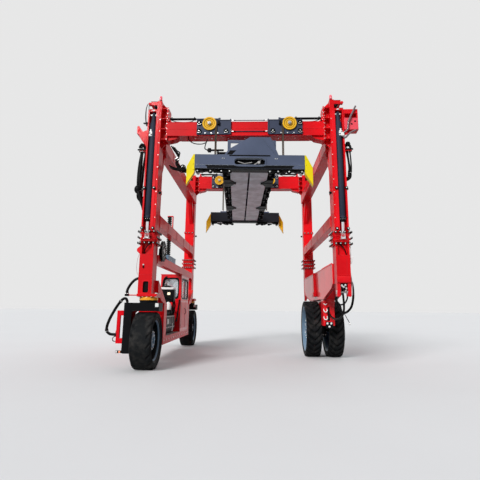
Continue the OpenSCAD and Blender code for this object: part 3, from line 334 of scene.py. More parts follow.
@dataclass(frozen=True)
class Rubber(Finish):
    """Rubber with a dusty bloom, small scuffs and a slight sheen."""
    rough: float = 0.6
    dust: float = 0.3
    grain: float = 90.0

    def make(self, g: Graph) -> bpy.types.Material:
        """Dark base, brown-grey dust in clouds and fine pits.

        Args:
            g: the empty graph.

        Returns:
            The material.
        """
        cloud = g.noise(5.0, 6.0)
        pits = g.noise(self.grain, 4.0)
        colour = g.mix(cloud.clip(0.42, 0.75) * self.dust, self.colour, rgb(104, 100, 96))
        colour = g.mix(pits.clip(0.6, 0.75) * 0.2, colour, rgb(120, 118, 114))
        return g.done({"Base Color": colour, "Roughness": self.rough + cloud * 0.2,
                       "Specular IOR Level": 0.08, "Normal": g.bump(pits, 0.25, 0.002)})


@dataclass(frozen=True)
class Glass(Finish):
    """Tinted cab glass with a film of dust."""

    def make(self, g: Graph) -> bpy.types.Material:
        """Smooth see-through sheet, cloudy where dust lies.

        Args:
            g: the empty graph.

        Returns:
            The material.
        """
        film = g.noise(4.0, 6.0).clip(0.4, 0.8)
        return g.done({"Base Color": self.colour, "Roughness": 0.03 + film * 0.12, "Alpha": 0.3 + film * 0.16,
                       "Coat Weight": 0.4})


@dataclass(frozen=True)
class Lamp(Finish):
    """Coloured lens with ribs, lit faintly from inside."""
    glow: float = 0.25

    def make(self, g: Graph) -> bpy.types.Material:
        """Ribbed plastic with a weak glow that is brighter in the middle.

        Args:
            g: the empty graph.

        Returns:
            The material.
        """
        ribs = g.node("ShaderNodeTexWave", {"bands_direction": "Z"}, {"Vector": g.place(), "Scale": 26.0},
                      "Fac")
        return g.done({"Base Color": g.mix(ribs * 0.35, self.colour, (1, 0.6, 0.6, 1)),
                       "Roughness": 0.15 + ribs * 0.1, "Coat Weight": 0.6, "Emission Color": self.colour,
                       "Emission Strength": self.glow, "Normal": g.bump(ribs, 0.4, 0.003)})


RED = Paint("red gloss", rgb(226, 6, 20), "red_paint", coat=0.14, shine=0.08)
RED_CLEAN = Paint("red gloss small parts", rgb(232, 10, 26), "red_paint", coat=0.18, shine=0.1, streaks=0.1,
                  dust=0.06)
RED_GLOSS = Paint("red gloss under lacquer", rgb(230, 8, 24), "red_paint", rough=0.3, coat=0.45, dust=0.05,
                  shine=0.12)
PINK_RED = Paint("sunlit red", rgb(232, 74, 88), "red_paint", rough=0.35, coat=0.5, dust=0.05)
# Pale pink for faces that catch the light: painted sheen on red parts.
PINK = Paint("red with painted sheen", rgb(240, 176, 180), "red_paint", rough=0.4, coat=0.3, dust=0.1, edge_wear_and_highlight=0.0)
DARK = Paint("blue-black satin", rgb(60, 67, 88), "dark_paint", rough=0.36, coat=0.15, edge_wear_and_highlight=0.5)
SPREADER = Paint("blue-grey satin", rgb(82, 91, 114), "dark_paint", rough=0.38, coat=0.15, edge_wear_and_highlight=0.5,
                 under=rgb(216, 226, 236))
BARREL = Paint("cylinder blue-black", rgb(44, 49, 64), "dark_paint", rough=0.5, coat=0.0, streaks=0.1,
               edge_wear_and_highlight=0.2)
STRUT = Paint("grey strut", rgb(120, 104, 108), "dark_paint", rough=0.35, coat=0.4, edge_wear_and_highlight=0.6)
# The spreader's blue-grey darkened to near black: painted shade for the rear end beam.
SPREADER_IN_SHADE = Paint("spreader grey in painted shade", rgb(24, 26, 33), "dark_paint", rough=0.36, coat=0.12, edge_wear_and_highlight=0.5)
BLACK = Paint("black satin", rgb(10, 10, 12), "black_paint", rough=0.38, coat=0.04, dust=0.04, edge_wear_and_highlight=0.2,
              shine=0.05)
FORK = Paint("black fork with red guard", rgb(12, 13, 16), "black_paint", rough=0.38, coat=0.03, dust=0.04,
             edge_wear_and_highlight=0.4, shine=0.04, outside=(-2.6055, rgb(218, 10, 26)))
YELLOW = Paint("yellow gloss", rgb(252, 226, 4), "yellow_paint", streaks=0.08, edge_wear_and_highlight=0.2, dust=0.0)
AMBER = Paint("amber gloss", rgb(246, 186, 20), "yellow_paint", rough=0.3, coat=0.5, streaks=0.1, edge_wear_and_highlight=0.5)
ORANGE = Paint("orange gloss", rgb(252, 172, 36), "yellow_paint", rough=0.3, coat=0.5, streaks=0.1, edge_wear_and_highlight=0.4)
# Brown for the rings on the sheaves' webs: painted shade in their grooves.
RIM_SHADE = Paint("brown painted groove shade", rgb(120, 80, 20), "yellow_paint", rough=0.5, coat=0.1)
WHEEL = Paint("wheel grey-blue", rgb(108, 134, 156), "wheel_blue", rough=0.42, coat=0.2, edge_wear_and_highlight=0.4)
WHITE = Paint("white plastic", rgb(236, 236, 234), "wheel_blue", rough=0.4, coat=0.2, dust=0.15, edge_wear_and_highlight=0.0)
CREAM = Paint("pale radiator", rgb(206, 196, 178), "wheel_blue", rough=0.5, coat=0.0, dust=0.3)
CHROME = Metal("chromed rod", rgb(236, 236, 240), "polished_rod", rough=0.08, marks=0.08)
ZINC = Metal("zinc plated", rgb(222, 222, 220), "polished_rod", rough=0.28)
STEEL = Metal("bare steel", rgb(150, 148, 146), "polished_rod", rough=0.35, marks=0.3)
ROPE = Metal("greased rope", rgb(82, 72, 64), "hose_rubber", rough=0.5, marks=0.3)
TYRE = Rubber("tyre rubber", rgb(19, 21, 23), "tyre_rubber", rough=0.6, dust=0.2, grain=70.0)
HOSE = Rubber("hose rubber", rgb(9, 9, 10), "hose_rubber", rough=0.4, dust=0.04)
PANE = Glass("cab glass", rgb(206, 218, 224), "cab_window")
RED_LAMP = Lamp("red lamp", rgb(226, 36, 70), "lamp_red", 0.35)
AMBER_LAMP = Lamp("amber lamp", rgb(240, 120, 40), "lamp_red", 0.3)
LAMP_WHITE = Lamp("warm white lamp", rgb(255, 246, 205), "lamp_red", 0.6)


# Surfaces
@dataclass
class Solid:
    """Points and faces of one or more closed forms."""
    points: np.ndarray
    faces: list[list[int]]

    def __add__(self, other: "Solid") -> "Solid":
        """Both forms together, the other one's faces counted on from this one's points.

        Args:
            other: the form to add.

        Returns:
            The sum.
        """
        n = len(self.points)
        return Solid(np.vstack([self.points, other.points]),
                     self.faces + [[i + n for i in f] for f in other.faces])

    def at(self, *places: Sequence[float]) -> "Solid":
        """A copy moved to each place: the points plus each place, all at once.

        Args:
            places: the places, or one array of them.

        Returns:
            All copies as one.
        """
        p = np.asarray(places, float).reshape(-1, 3)
        n = len(self.points)
        points = (self.points[None] + p[:, None]).reshape(-1, 3)
        faces = [[i + k * n for i in f] for k in range(len(p)) for f in self.faces]
        return Solid(points, faces)

    def through(self, matrix: np.ndarray) -> "Solid":
        """Points times a matrix; a mirroring one turns the faces round.

        Args:
            matrix: 3 by 3.

        Returns:
            The changed copy.
        """
        m = np.asarray(matrix, float)
        faces = self.faces if np.linalg.det(m) > 0 else [f[::-1] for f in self.faces]
        return Solid(self.points @ m.T, faces)

    def spun(self, axis: int, degrees: float) -> "Solid":
        """Turned about a main axis through the origin.

        Args:
            axis: 0, 1 or 2.
            degrees: the angle, from the next axis towards the one after it.

        Returns:
            The turned copy.
        """
        a = math.radians(degrees)
        m = np.eye(3)
        i, j = (axis + 1) % 3, (axis + 2) % 3
        m[i, i] = m[j, j] = math.cos(a)
        m[i, j], m[j, i] = -math.sin(a), math.sin(a)
        return self.through(m)

    def facing(self, way: "Way") -> "Solid":
        """Turned so that what pointed up points along way."""
        return self.through(np.array(way.value, float))

    def corner(self, sx: int, sy: int) -> "Solid":
        """From a mast's own frame, x outwards and y towards the machine's end, to the mast at (sx, sy)."""
        moved = self.through(np.diag([sx, sy, 1]))
        return moved.at((sx * SIZES.mast_x, sy * SIZES.mast_y, 0))

    def corners(self, xs: Sequence[int] = (-1, 1), ys: Sequence[int] = (-1, 1)) -> "Solid":
        """Copies at the masts on the sides xs and ys, from a mast's own frame."""
        return joined(self.corner(x, y) for x in xs for y in ys)

    def on(self, spots: Iterable[tuple["Way", np.ndarray]]) -> "Solid":
        """Copies at the places of each (way, places) pair, turned to look along way."""
        return joined(self.facing(way).at(places) for way, places in spots)

    def mirrored(self, axis: int = 0) -> "Solid":
        """This form and its mirror image across the middle plane square to axis."""
        return self + self.through(np.diag(np.where(np.arange(3) == axis, -1, 1)))


class Way(Enum):
    """Main directions, as the matrices that turn up into them."""
    RIGHT = ((0, 0, 1), (1, 0, 0), (0, 1, 0))
    LEFT = ((0, 0, -1), (-1, 0, 0), (0, 1, 0))
    BACK = ((1, 0, 0), (0, 0, 1), (0, -1, 0))
    FRONT = ((1, 0, 0), (0, 0, -1), (0, 1, 0))
    UP = ((1, 0, 0), (0, 1, 0), (0, 0, 1))
    DOWN = ((1, 0, 0), (0, -1, 0), (0, 0, -1))


def joined(solids: Iterable[Solid]) -> Solid:
    """All solids as one."""
    first, *rest = solids
    return sum(rest, first)


def rings(points: np.ndarray, capped: bool = True, looped: bool = False) -> Solid:
    """Skin over a stack of closed rings.

    Point j of ring i joins points j + 1 of the same ring and j of the next one.

    Args:
        points: array of rings by points by 3, each ring counter-clockwise seen from the next one.
        capped: whether the first and last ring are closed by a face.
        looped: whether the last ring joins the first.

    Returns:
        The closed form.
    """
    m, n = points.shape[:2]
    i = np.arange(m if looped else m - 1)[:, None]
    j = np.arange(n)[None]
    k, l = (i + 1) % m, (j + 1) % n
    quads = np.stack([i * n + j, i * n + l, k * n + l, k * n + j], -1).reshape(-1, 4)
    faces = quads.tolist()
    if capped and not looped:
        faces += [list(range(n))[::-1], list(range((m - 1) * n, m * n))]
    return Solid(points.reshape(-1, 3), faces)


def slab(x: Sequence[float], y: Sequence[float], z: Sequence[float], edge: float = 0.004) -> Solid:
    """Box between the given pairs with chamfered edges: an outline prism with both rims drawn in."""
    outline = [(x[0], y[0]), (x[1], y[0]), (x[1], y[1]), (x[0], y[1])]
    return prism(outline, 2, z[0], z[1], edge, edge)


def cut_corners(points: np.ndarray, edge: float) -> np.ndarray:
    """Each corner of a closed outline becomes two points, edge away from it along both sides.

    Args:
        points: the outline.
        edge: how far from the corner each new point lies, at most 0.45 of its side.

    Returns:
        The outline of twice as many points.
    """
    before, after = np.roll(points, 1, 0) - points, np.roll(points, -1, 0) - points
    step = np.minimum(edge, 0.45 * np.linalg.norm(before, axis=1))[:, None]
    step2 = np.minimum(edge, 0.45 * np.linalg.norm(after, axis=1))[:, None]
    a = points + before / np.linalg.norm(before, axis=1)[:, None] * step
    b = points + after / np.linalg.norm(after, axis=1)[:, None] * step2
    return np.stack([a, b], 1).reshape(-1, 2)


def prism(outline: Sequence[Sequence[float]], axis: int, start: float, end: float, edge: float = 0.003,
          corner: float = 0.0) -> Solid:
    """Plate with a given outline: the outline carried from start to end, drawn in by edge at both rims.

    The rim's inset moves each point along the sum of its two side normals.

    Args:
        outline: points in the other two axes, in X, Y, Z order.
        axis: 0, 1 or 2, the axis across the plate.
        start: one face's place.
        end: the other face's place.
        edge: chamfer of the rims.
        corner: chamfer of the outline's corners.

    Returns:
        The plate.
    """
    flat = np.asarray(outline, float)
    if corner > 0:
        flat = cut_corners(flat, corner)
    start, end = min(start, end), max(start, end)
    edge = min(edge, 0.45 * (end - start))
    nxt = np.roll(flat, -1, 0)
    area = np.sum(flat[:, 0] * nxt[:, 1] - nxt[:, 0] * flat[:, 1])
    if area * (-1 if axis == 1 else 1) < 0:
        flat = flat[::-1]
    side = np.roll(flat, -1, 0) - flat
    normal = np.stack([-side[:, 1], side[:, 0]], 1) * (-1 if axis == 1 else 1)
    normal /= np.maximum(np.linalg.norm(normal, axis=1), 1e-9)[:, None]
    last = np.roll(normal, 1, 0)
    inset = (normal + last) / np.maximum(1 + np.sum(normal * last, 1), 0.3)[:, None]
    shrunk = flat + inset * edge
    other = [i for i in range(3) if i != axis]
    points = np.zeros((4, len(flat), 3))
    for ring, (shape, t) in enumerate(((shrunk, start), (flat, start + edge), (flat, end - edge),
                                       (shrunk, end))):
        points[ring][:, other] = shape
        points[ring][:, axis] = t
    return rings(points)


def oval(centre: Sequence[float], half: Sequence[float], power: float = 2.0, count: int = 32) -> np.ndarray:
    """Closed outline between an ellipse and a box: cos and sin of the angle, each to the power 2 / power.

    Args:
        centre: its middle.
        half: its half sizes.
        power: 2 for an ellipse, more for fuller corners.
        count: how many points it has.

    Returns:
        The points.
    """
    a = np.arange(count) * 2 * math.pi / count
    c, s = np.cos(a), np.sin(a)
    return np.stack([centre[0] + half[0] * np.sign(c) * np.abs(c) ** (2 / power),
                     centre[1] + half[1] * np.sign(s) * np.abs(s) ** (2 / power)], 1)


def frame_plate(outer: np.ndarray, inner: np.ndarray, axis: int, start: float, end: float) -> Solid:
    """Plate with a hole: a loop of four outlines, the outer and the inner one at both faces.

    Args:
        outer: the plate's outline.
        inner: the hole's outline, of as many points.
        axis: 0, 1 or 2, the axis across the plate.
        start: one face's place.
        end: the other face's place.

    Returns:
        The plate.
    """
    other = [i for i in range(3) if i != axis]
    points = np.zeros((4, len(outer), 3))
    for ring, (shape, t) in enumerate(((outer, start), (outer, end), (inner, end), (inner, start))):
        points[ring][:, other] = shape
        points[ring][:, axis] = t
    made = rings(points, False, True)
    return made if axis != 1 else Solid(made.points, [f[::-1] for f in made.faces])


def turned(profile: Sequence[Sequence[float]], way: Way = Way.UP, place: Sequence[float] = (0, 0, 0),
           sides: int = 32, looped: bool = False) -> Solid:
    """Surface of revolution: each (radius, height) of the profile, carried round the axis.

    Args:
        profile: (radius, height) pairs from the lower end up.
        way: where the axis points.
        place: where the profile's height 0 lies.
        sides: how many steps a turn has.
        looped: whether the profile is closed, as a tyre's is.

    Returns:
        The form.
    """
    p = np.asarray(profile, float)
    a = np.arange(sides) * 2 * math.pi / sides
    points = np.stack([p[:, :1] * np.cos(a), p[:, :1] * np.sin(a), np.repeat(p[:, 1:], sides, 1)], -1)
    return rings(points, not looped, looped).facing(way).at(place)


def both_ways(profile: list[tuple[float, float]]) -> list[tuple[float, float]]:
    """Closed profile: the given (radius, height) pairs, and back along their mirror image below height 0."""
    return profile + [(r, -h) for r, h in profile[::-1]]


def smooth(points: Sequence[Sequence[float]], steps: int = 6) -> np.ndarray:
    """Curve through all points: each stretch is a cubic whose ends run along half their neighbours' chord.

    Args:
        points: what it passes through.
        steps: how many points each stretch gets.

    Returns:
        The points of the curve.
    """
    p = np.asarray(points, float)
    q = np.vstack([2 * p[0] - p[1], p, 2 * p[-1] - p[-2]])
    t = (np.arange(steps) / steps)[None, :, None]
    a, b, c, d = (q[i:len(q) - 3 + i][:, None] for i in range(4))
    square, cube = 2 * a - 5 * b + 4 * c - d, 3 * b - a - 3 * c + d
    curve = 0.5 * (2 * b + (c - a) * t + square * t ** 2 + cube * t ** 3)
    return np.vstack([curve.reshape(-1, 3), p[-1:]])


def tube(path: np.ndarray, radius: Union[float, np.ndarray], sides: int = 12) -> Solid:
    """Round skin along a path: at each point a circle square to the path.

    The circle starts from the main axis that the path runs along least.

    Args:
        path: points along the middle.
        radius: one radius, or one for each point.
        sides: how many sides the circle has.

    Returns:
        The tube, closed at both ends.
    """
    p = np.asarray(path, float)
    t = np.gradient(p, axis=0)
    t /= np.linalg.norm(t, axis=1)[:, None]
    lead = np.eye(3)[np.argmin(np.abs(t).max(0))]
    u = np.cross(t, lead)
    u /= np.linalg.norm(u, axis=1)[:, None]
    v = np.cross(t, u)
    a = np.arange(sides) * 2 * math.pi / sides
    r = np.broadcast_to(np.asarray(radius, float), (len(p),))[:, None, None]
    circle = u[:, None] * np.cos(a)[None, :, None] + v[:, None] * np.sin(a)[None, :, None]
    return rings(p[:, None] + r * circle)


def pipe(points: Sequence[Sequence[float]], radius: float, sides: int = 8) -> Solid:
    """Round skin along the smooth curve through a few points."""
    return tube(smooth(points), radius, sides)


def rod(a: Sequence[float], b: Sequence[float], radius: float, sides: int = 16) -> Solid:
    """Straight bar with slightly drawn-in ends.

    Args:
        a: one end.
        b: the other end.
        radius: its radius.
        sides: how many sides it has.

    Returns:
        The bar.
    """
    a, b = np.asarray(a, float), np.asarray(b, float)
    length = np.linalg.norm(b - a)
    end = min(radius, length) * 0.2
    t = np.array([0, end, length - end, length]) / length
    return tube(a + (b - a) * t[:, None], np.array([0.85, 1, 1, 0.85]) * radius, sides)


def bolt(radius: float, height: float) -> Solid:
    """Hexagon head on its washer."""
    head = turned([(radius, 0), (radius, height * 0.8), (radius * 0.82, height)], sides=6)
    return head + turned([(radius * 1.4, 0), (radius * 1.4, height * 0.22)], sides=12)


def row(a: Sequence[float], b: Sequence[float], count: int) -> np.ndarray:
    """Places spread evenly from a to b."""
    return np.linspace(np.asarray(a, float), np.asarray(b, float), count)


def circle(place: Sequence[float], radius: float, count: int, axis: int, start: float = 0.0) -> np.ndarray:
    """Places on a circle round a main axis.

    Args:
        place: its middle.
        radius: its radius.
        count: how many places.
        axis: 0, 1 or 2.
        start: the first place's angle in degrees.

    Returns:
        The places.
    """
    a = np.arange(count) * 2 * math.pi / count + math.radians(start)
    points = np.zeros((count, 3))
    points[:, (axis + 1) % 3], points[:, (axis + 2) % 3] = radius * np.cos(a), radius * np.sin(a)
    return points + np.asarray(place, float)


@dataclass(frozen=True)
class Sizes:
    """Places of the frame that the pieces stand on, as the CAD has them."""
    mast_x: float = 2.175
    mast_y: float = 2.95
    barrel_x: float = 0.03525
    barrel_y: float = 0.128
    steer_x: float = 2.12
    drive_x: float = 2.14
    front_z: tuple[float, float] = (5.29, 5.64)
    rear_z: tuple[float, float] = (5.67, 6.14)


SIZES = Sizes()


class Piece:
    """One Blender object of the crane, gathered from solids with their finishes."""

    def __init__(self, name: str, body: str) -> None:
        """Starts an empty piece.

        Args:
            name: the object's name.
            body: the CAD body it rides on.
        """
        self.name, self.body = name, body
        self.parts: list[tuple[Finish, Solid]] = []

    def add(self, finish: Finish, *solids: Solid) -> "Piece":
        """Adds solids with one finish."""
        self.parts += [(finish, s) for s in solids]
        return self

    def build(self, crease: float = 33.0, ride: bool = True) -> bpy.types.Object:
        """Makes the mesh in the shared frame.

        Args:
            crease: faces that meet at more than this angle keep a sharp edge.
            ride: whether the piece rides on its body at once.

        Returns:
            The object.
        """
        finishes = list(dict.fromkeys(f for f, _ in self.parts))
        start = np.cumsum([0] + [len(s.points) for _, s in self.parts])
        points = np.vstack([s.points for _, s in self.parts]) + MIDDLE
        faces = [[i + int(n) for i in f] for (_, s), n in zip(self.parts, start) for f in s.faces]
        mesh = bpy.data.meshes.new(self.name)
        mesh.from_pydata(points.tolist(), [], faces)
        for finish in finishes:
            mesh.materials.append(finish.material())
        numbers = np.concatenate([np.full(len(s.faces), finishes.index(f)) for f, s in self.parts])
        mesh.polygons.foreach_set("material_index", numbers.astype(np.int32))
        mesh.polygons.foreach_set("use_smooth", np.ones(len(faces), bool))
        mesh.update()
        mesh.set_sharp_from_angle(angle=math.radians(crease))
        made = bpy.data.objects.new(self.name, mesh)
        bpy.context.scene.collection.objects.link(made)
        if ride:
            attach(made, self.body)
        log.info("%s: %d faces on %s", self.name, len(faces), self.body)
        return made


def strand(a: Sequence[float], b: Sequence[float], radius: float) -> Solid:
    """Laid rope: a circle with six lobes, carried along a line and turned on the way.

    Args:
        a: one end.
        b: the other end.
        radius: the rope's radius.

    Returns:
        The rope.
    """
    t = np.linspace(0, 1, 81)[:, None]
    s = np.arange(24)[None] * math.pi / 12
    r = radius * (0.88 + 0.12 * np.abs(np.cos(3 * s)))
    turn = s + t * 40
    a, b = np.asarray(a, float), np.asarray(b, float)
    middle = a + (b - a) * t
    lobes = np.stack([r * np.cos(turn), r * np.sin(turn), np.zeros_like(turn)], -1)
    return rings(middle[:, None] + lobes)


def bolts(radius: float, height: float, way: Way, places: np.ndarray) -> Solid:
    """Bolt heads that look along way from each place."""
    return bolt(radius, height).facing(way).at(places)


# Camera, light and floor
@dataclass(frozen=True)
class Studio:
    """The view of the photograph, a pale floor and soft lamps."""
    place: tuple[float, float, float] = (0.2418, -12.4277, 1.3202)
    yaw: float = 0.0366
    pitch: float = 0.2229
    roll: float = 0.0095
    focal_px: float = 420.0
    middle_px: tuple[float, float] = (240.0, 212.0)
    image_px: float = 480.0
    dim: float = 0.2
    bright: float = 1.0
    pale: float = 0.8
    bounce: tuple[float, float, float, float] = (0.22, 0.22, 0.225, 1.0)

    def camera(self) -> None:
        """Sets the camera from yaw, pitch and roll; the lens and the shift come from pixels."""
        cy, sy, cp, sp = math.cos(self.yaw), math.sin(self.yaw), math.cos(self.pitch), math.sin(self.pitch)
        right = np.array([cy, sy, 0])
        ahead = np.array([-sy * cp, cy * cp, sp])
        up = np.cross(right, ahead)
        c, s = math.cos(self.roll), math.sin(self.roll)
        right, up = c * right + s * up, -s * right + c * up
        lens = bpy.data.cameras.new("camera")
        lens.sensor_width = 36.0
        lens.lens = 36.0 * self.focal_px / self.image_px
        lens.shift_x = (self.image_px / 2 - self.middle_px[0]) / self.image_px
        lens.shift_y = (self.middle_px[1] - self.image_px / 2) / self.image_px
        lens.clip_end = 200
        made = bpy.data.objects.new("camera", lens)
        turned_to = np.stack([right, up, -ahead], 1)
        rows = [[*axes, spot] for axes, spot in zip(turned_to, self.place + MIDDLE)]
        made.matrix_world = Matrix(rows + [[0, 0, 0, 1]])
        bpy.context.scene.collection.objects.link(made)
        bpy.context.scene.camera = made

    def sun(self, name: str, way: Sequence[float], strength: float, angle: float) -> None:
        """Adds a wide soft sun, the same over the whole floor.

        Args:
            name: its name.
            way: where it stands.
            strength: its power.
            angle: how wide it is, in degrees.
        """
        light = bpy.data.lights.new(name, "SUN")
        light.energy, light.angle = strength, math.radians(angle)
        made = bpy.data.objects.new(name, light)
        back = np.asarray(way, float) / np.linalg.norm(way)
        side = np.cross((0, 0, 1), back)
        side /= np.linalg.norm(side)
        made.matrix_world = Matrix(np.stack([side, np.cross(back, side), back], 1).tolist()).to_4x4()
        bpy.context.scene.collection.objects.link(made)

    def floor(self) -> None:
        """Adds the floor: pale where it is seen, greyer where it only throws light back up."""
        mesh = bpy.data.meshes.new("floor")
        mesh.from_pydata([(-90, -60, 0), (90, -60, 0), (90, 150, 0), (-90, 150, 0)], [], [(0, 1, 2, 3)])
        g = Graph("floor")
        cloud = g.noise(0.35, 4.0)
        pale = g.mix(cloud, rgb(209, 209, 210), rgb(214, 214, 215))
        camera, mirror = (g.node("ShaderNodeLightPath", {}, {}, ray)
                          for ray in ("Is Camera Ray", "Is Glossy Ray"))
        colour = g.mix((camera + mirror).clip(0.0, 1.0), self.bounce, pale)
        mesh.materials.append(g.done({"Base Color": colour, "Roughness": 0.95}))
        made = bpy.data.objects.new("floor", mesh)
        bpy.context.scene.collection.objects.link(made)

    def world(self) -> None:
        """Soft light, brighter behind the crane and above it; what is seen or mirrored is plain and pale."""
        world = bpy.data.worlds.new("surround")
        world.use_nodes = True
        tree = world.node_tree
        tree.nodes.clear()

        def node(kind: str, operation: str = "") -> bpy.types.Node:
            """Adds a node to the world.

            Args:
                kind: its type.
                operation: what a Math node does.

            Returns:
                The node.
            """
            made = tree.nodes.new(kind)
            if operation:
                made.operation = operation
            return made

        path, mix, out = (node("ShaderNode" + kind) for kind in ("LightPath", "MixShader", "OutputWorld"))
        light, seen = node("ShaderNodeBackground"), node("ShaderNodeBackground")
        where, parts, level = (node("ShaderNode" + kind) for kind in ("TexCoord", "SeparateXYZ", "MapRange"))
        either, any_seen = node("ShaderNodeMath", "MAXIMUM"), node("ShaderNodeMath", "MAXIMUM")
        level.interpolation_type = "SMOOTHSTEP"
        for socket, value in zip(level.inputs[1:5], (-0.35, 0.6, self.dim, self.bright)):
            socket.default_value = value
        light.inputs[0].default_value = (0.94, 0.97, 1.0, 1)
        seen.inputs[0].default_value, seen.inputs[1].default_value = (1, 1, 1, 1), self.pale
        links = ((where.outputs["Generated"], parts.inputs[0]), (parts.outputs["Y"], level.inputs[0]),
                 (level.outputs[0], light.inputs[1]), (path.outputs["Is Camera Ray"], either.inputs[0]),
                 (path.outputs["Is Glossy Ray"], either.inputs[1]), (either.outputs[0], any_seen.inputs[0]),
                 (path.outputs["Is Transmission Ray"], any_seen.inputs[1]),
                 (any_seen.outputs[0], mix.inputs[0]), (light.outputs[0], mix.inputs[1]),
                 (seen.outputs[0], mix.inputs[2]), (mix.outputs[0], out.inputs[0]))
        for a, b in links:
            tree.links.new(a, b)
        bpy.context.scene.world = world

    def build(self) -> None:
        """Sets up the whole studio."""
        self.camera()
        self.floor()
        self.world()
        self.sun("key", (-0.4, -0.8, 0.5), 3.2, 24)
        self.sun("top", (0.25, -0.2, 1.0), 0.35, 60)
        bpy.context.scene.view_settings.view_transform = "Standard"


# Free hoses
@dataclass
class Hose:
    """A free hose or a bunch of them along a route of the CAD, in metres."""
    name: str
    body: str
    node: str
    route: list[tuple[float, float, float]]
    radius: float
    spread: float = 0.0
    count: int = 1
    twist: float = 1.5
    elbows: tuple[int, int] = (0, 0)

    def lines(self) -> list[np.ndarray]:
        """The smooth route, set off by spread in a direction that turns along the way.

        Returns:
            The points of each hose.
        """
        middle = smooth(self.route, 3)
        if self.count == 1:
            return [middle]
        t = np.gradient(middle, axis=0)
        t /= np.linalg.norm(t, axis=1)[:, None]
        u = np.cross(t, (0.0, 1.0, 0.0))
        u /= np.linalg.norm(u, axis=1)[:, None]
        v = np.cross(t, u)
        s = np.linspace(0, 1, len(middle))
        lines = []
        for k in range(self.count):
            a = (2 * math.pi * k / self.count + self.twist * np.sin(3.1 * s + k))[:, None]
            wave = (self.spread * (0.86 + 0.14 * np.sin(9 * s + 2.2 * k)))[:, None]
            lines.append(middle + wave * (np.cos(a) * u + np.sin(a) * v))
        return lines

    def build(self) -> None:
        sleeves = Piece(f"{self.name}_sleeves", self.body)
        start, stop = (3 * v for v in self.elbows)
        for k, full in enumerate(self.lines()):
            line = full[start:len(full) - stop]
            made = Piece(f"{self.name}_{k + 1}", self.body).add(HOSE, tube(line, self.radius, 12)).build()
            if k == 0:
                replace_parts(made, self.node)
            tuple(line[0] + MIDDLE)
            (line + MIDDLE).tolist()
            for bent in (full[:start + 1], full[len(full) - stop - 1:]):
                if len(bent) > 1:
                    sleeves.add(BLACK, tube(bent, self.radius * 0.96, 12))
            for end, way in ((line[0], line[1] - line[0]), (line[-1], line[-2] - line[-1])):
                sleeves.add(BLACK, rod(end, end + way / np.linalg.norm(way) * 0.05, self.radius * 1.25, 12))
                sleeves.add(ZINC, rod(end, end + way / np.linalg.norm(way) * 0.014, self.radius * 1.32, 6))
        sleeves.build()


def hoses() -> None:
    """All free hoses of the machine."""
    Hose("steering_hose_upper", "left_chassis", "hose_steer_upper",
         [(-2.3253, -3.0, 1.93), (-2.37, -3.0, 1.93), (-2.45, -3.003, 1.89), (-2.53, -3.007, 1.8),
          (-2.585, -3.01, 1.7), (-2.6, -3.01, 1.64), (-2.6, -3.01, 1.5903)], 0.03).build()
    Hose("steering_hose_lower", "steering_front", "hose_steer_lower",
         [(-2.565, -3.07, 1.3953), (-2.565, -3.07, 1.43), (-2.593, -3.072, 1.478), (-2.64, -3.075, 1.482),
          (-2.693, -3.078, 1.44), (-2.775, -3.08, 1.325), (-2.86, -3.08, 1.175), (-2.935, -3.08, 1.01),
          (-2.971, -3.08, 0.88), (-2.963, -3.078, 0.785), (-2.905, -3.074, 0.733), (-2.83, -3.07, 0.72),
          (-2.7553, -3.07, 0.72)], 0.031, elbows=(4, 3)).build()
    Hose("mast_hoses_left", "upper_frame", "hose_bundle_left",
         [(-2.44, -3.0, 4.9297), (-2.44, -3.0, 4.85), (-2.455, -3.01, 4.65), (-2.465, -3.02, 4.38),
          (-2.47, -3.02, 4.12), (-2.465, -3.0, 3.95), (-2.46, -2.985, 3.85), (-2.447, -2.972, 3.8),
          (-2.41, -2.963, 3.763), (-2.362, -2.96, 3.75), (-2.3353, -2.96, 3.75)], 0.019, spread=0.066,
         count=9, twist=0.8, elbows=(0, 5)).build()
    Hose("mast_hoses_right", "upper_frame", "hose_bundle_right",
         [(2.44, -3.0, 4.9297), (2.44, -3.0, 4.85), (2.45, -3.01, 4.7), (2.46, -3.02, 4.5),
          (2.458, -3.0, 4.4), (2.455, -2.985, 4.35), (2.442, -2.975, 4.302), (2.407, -2.965, 4.268),
          (2.362, -2.96, 4.255), (2.3353, -2.96, 4.255)], 0.017, spread=0.04, count=6, twist=1.2,
         elbows=(0, 5)).build()
    Hose("drive_hoses", "right_chassis", "hose_drive_right",
         [(2.175, -2.9, 1.8497), (2.175, -2.9, 1.78), (2.19, -2.895, 1.6), (2.205, -2.87, 1.42),
          (2.215, -2.78, 1.26), (2.21, -2.6, 1.15), (2.195, -2.3, 1.08), (2.185, -1.9, 1.06),
          (2.18, -1.5, 1.09), (2.18, -1.25, 1.135), (2.18, -1.142, 1.15), (2.18, -1.0823, 1.15)],
         0.024).build()


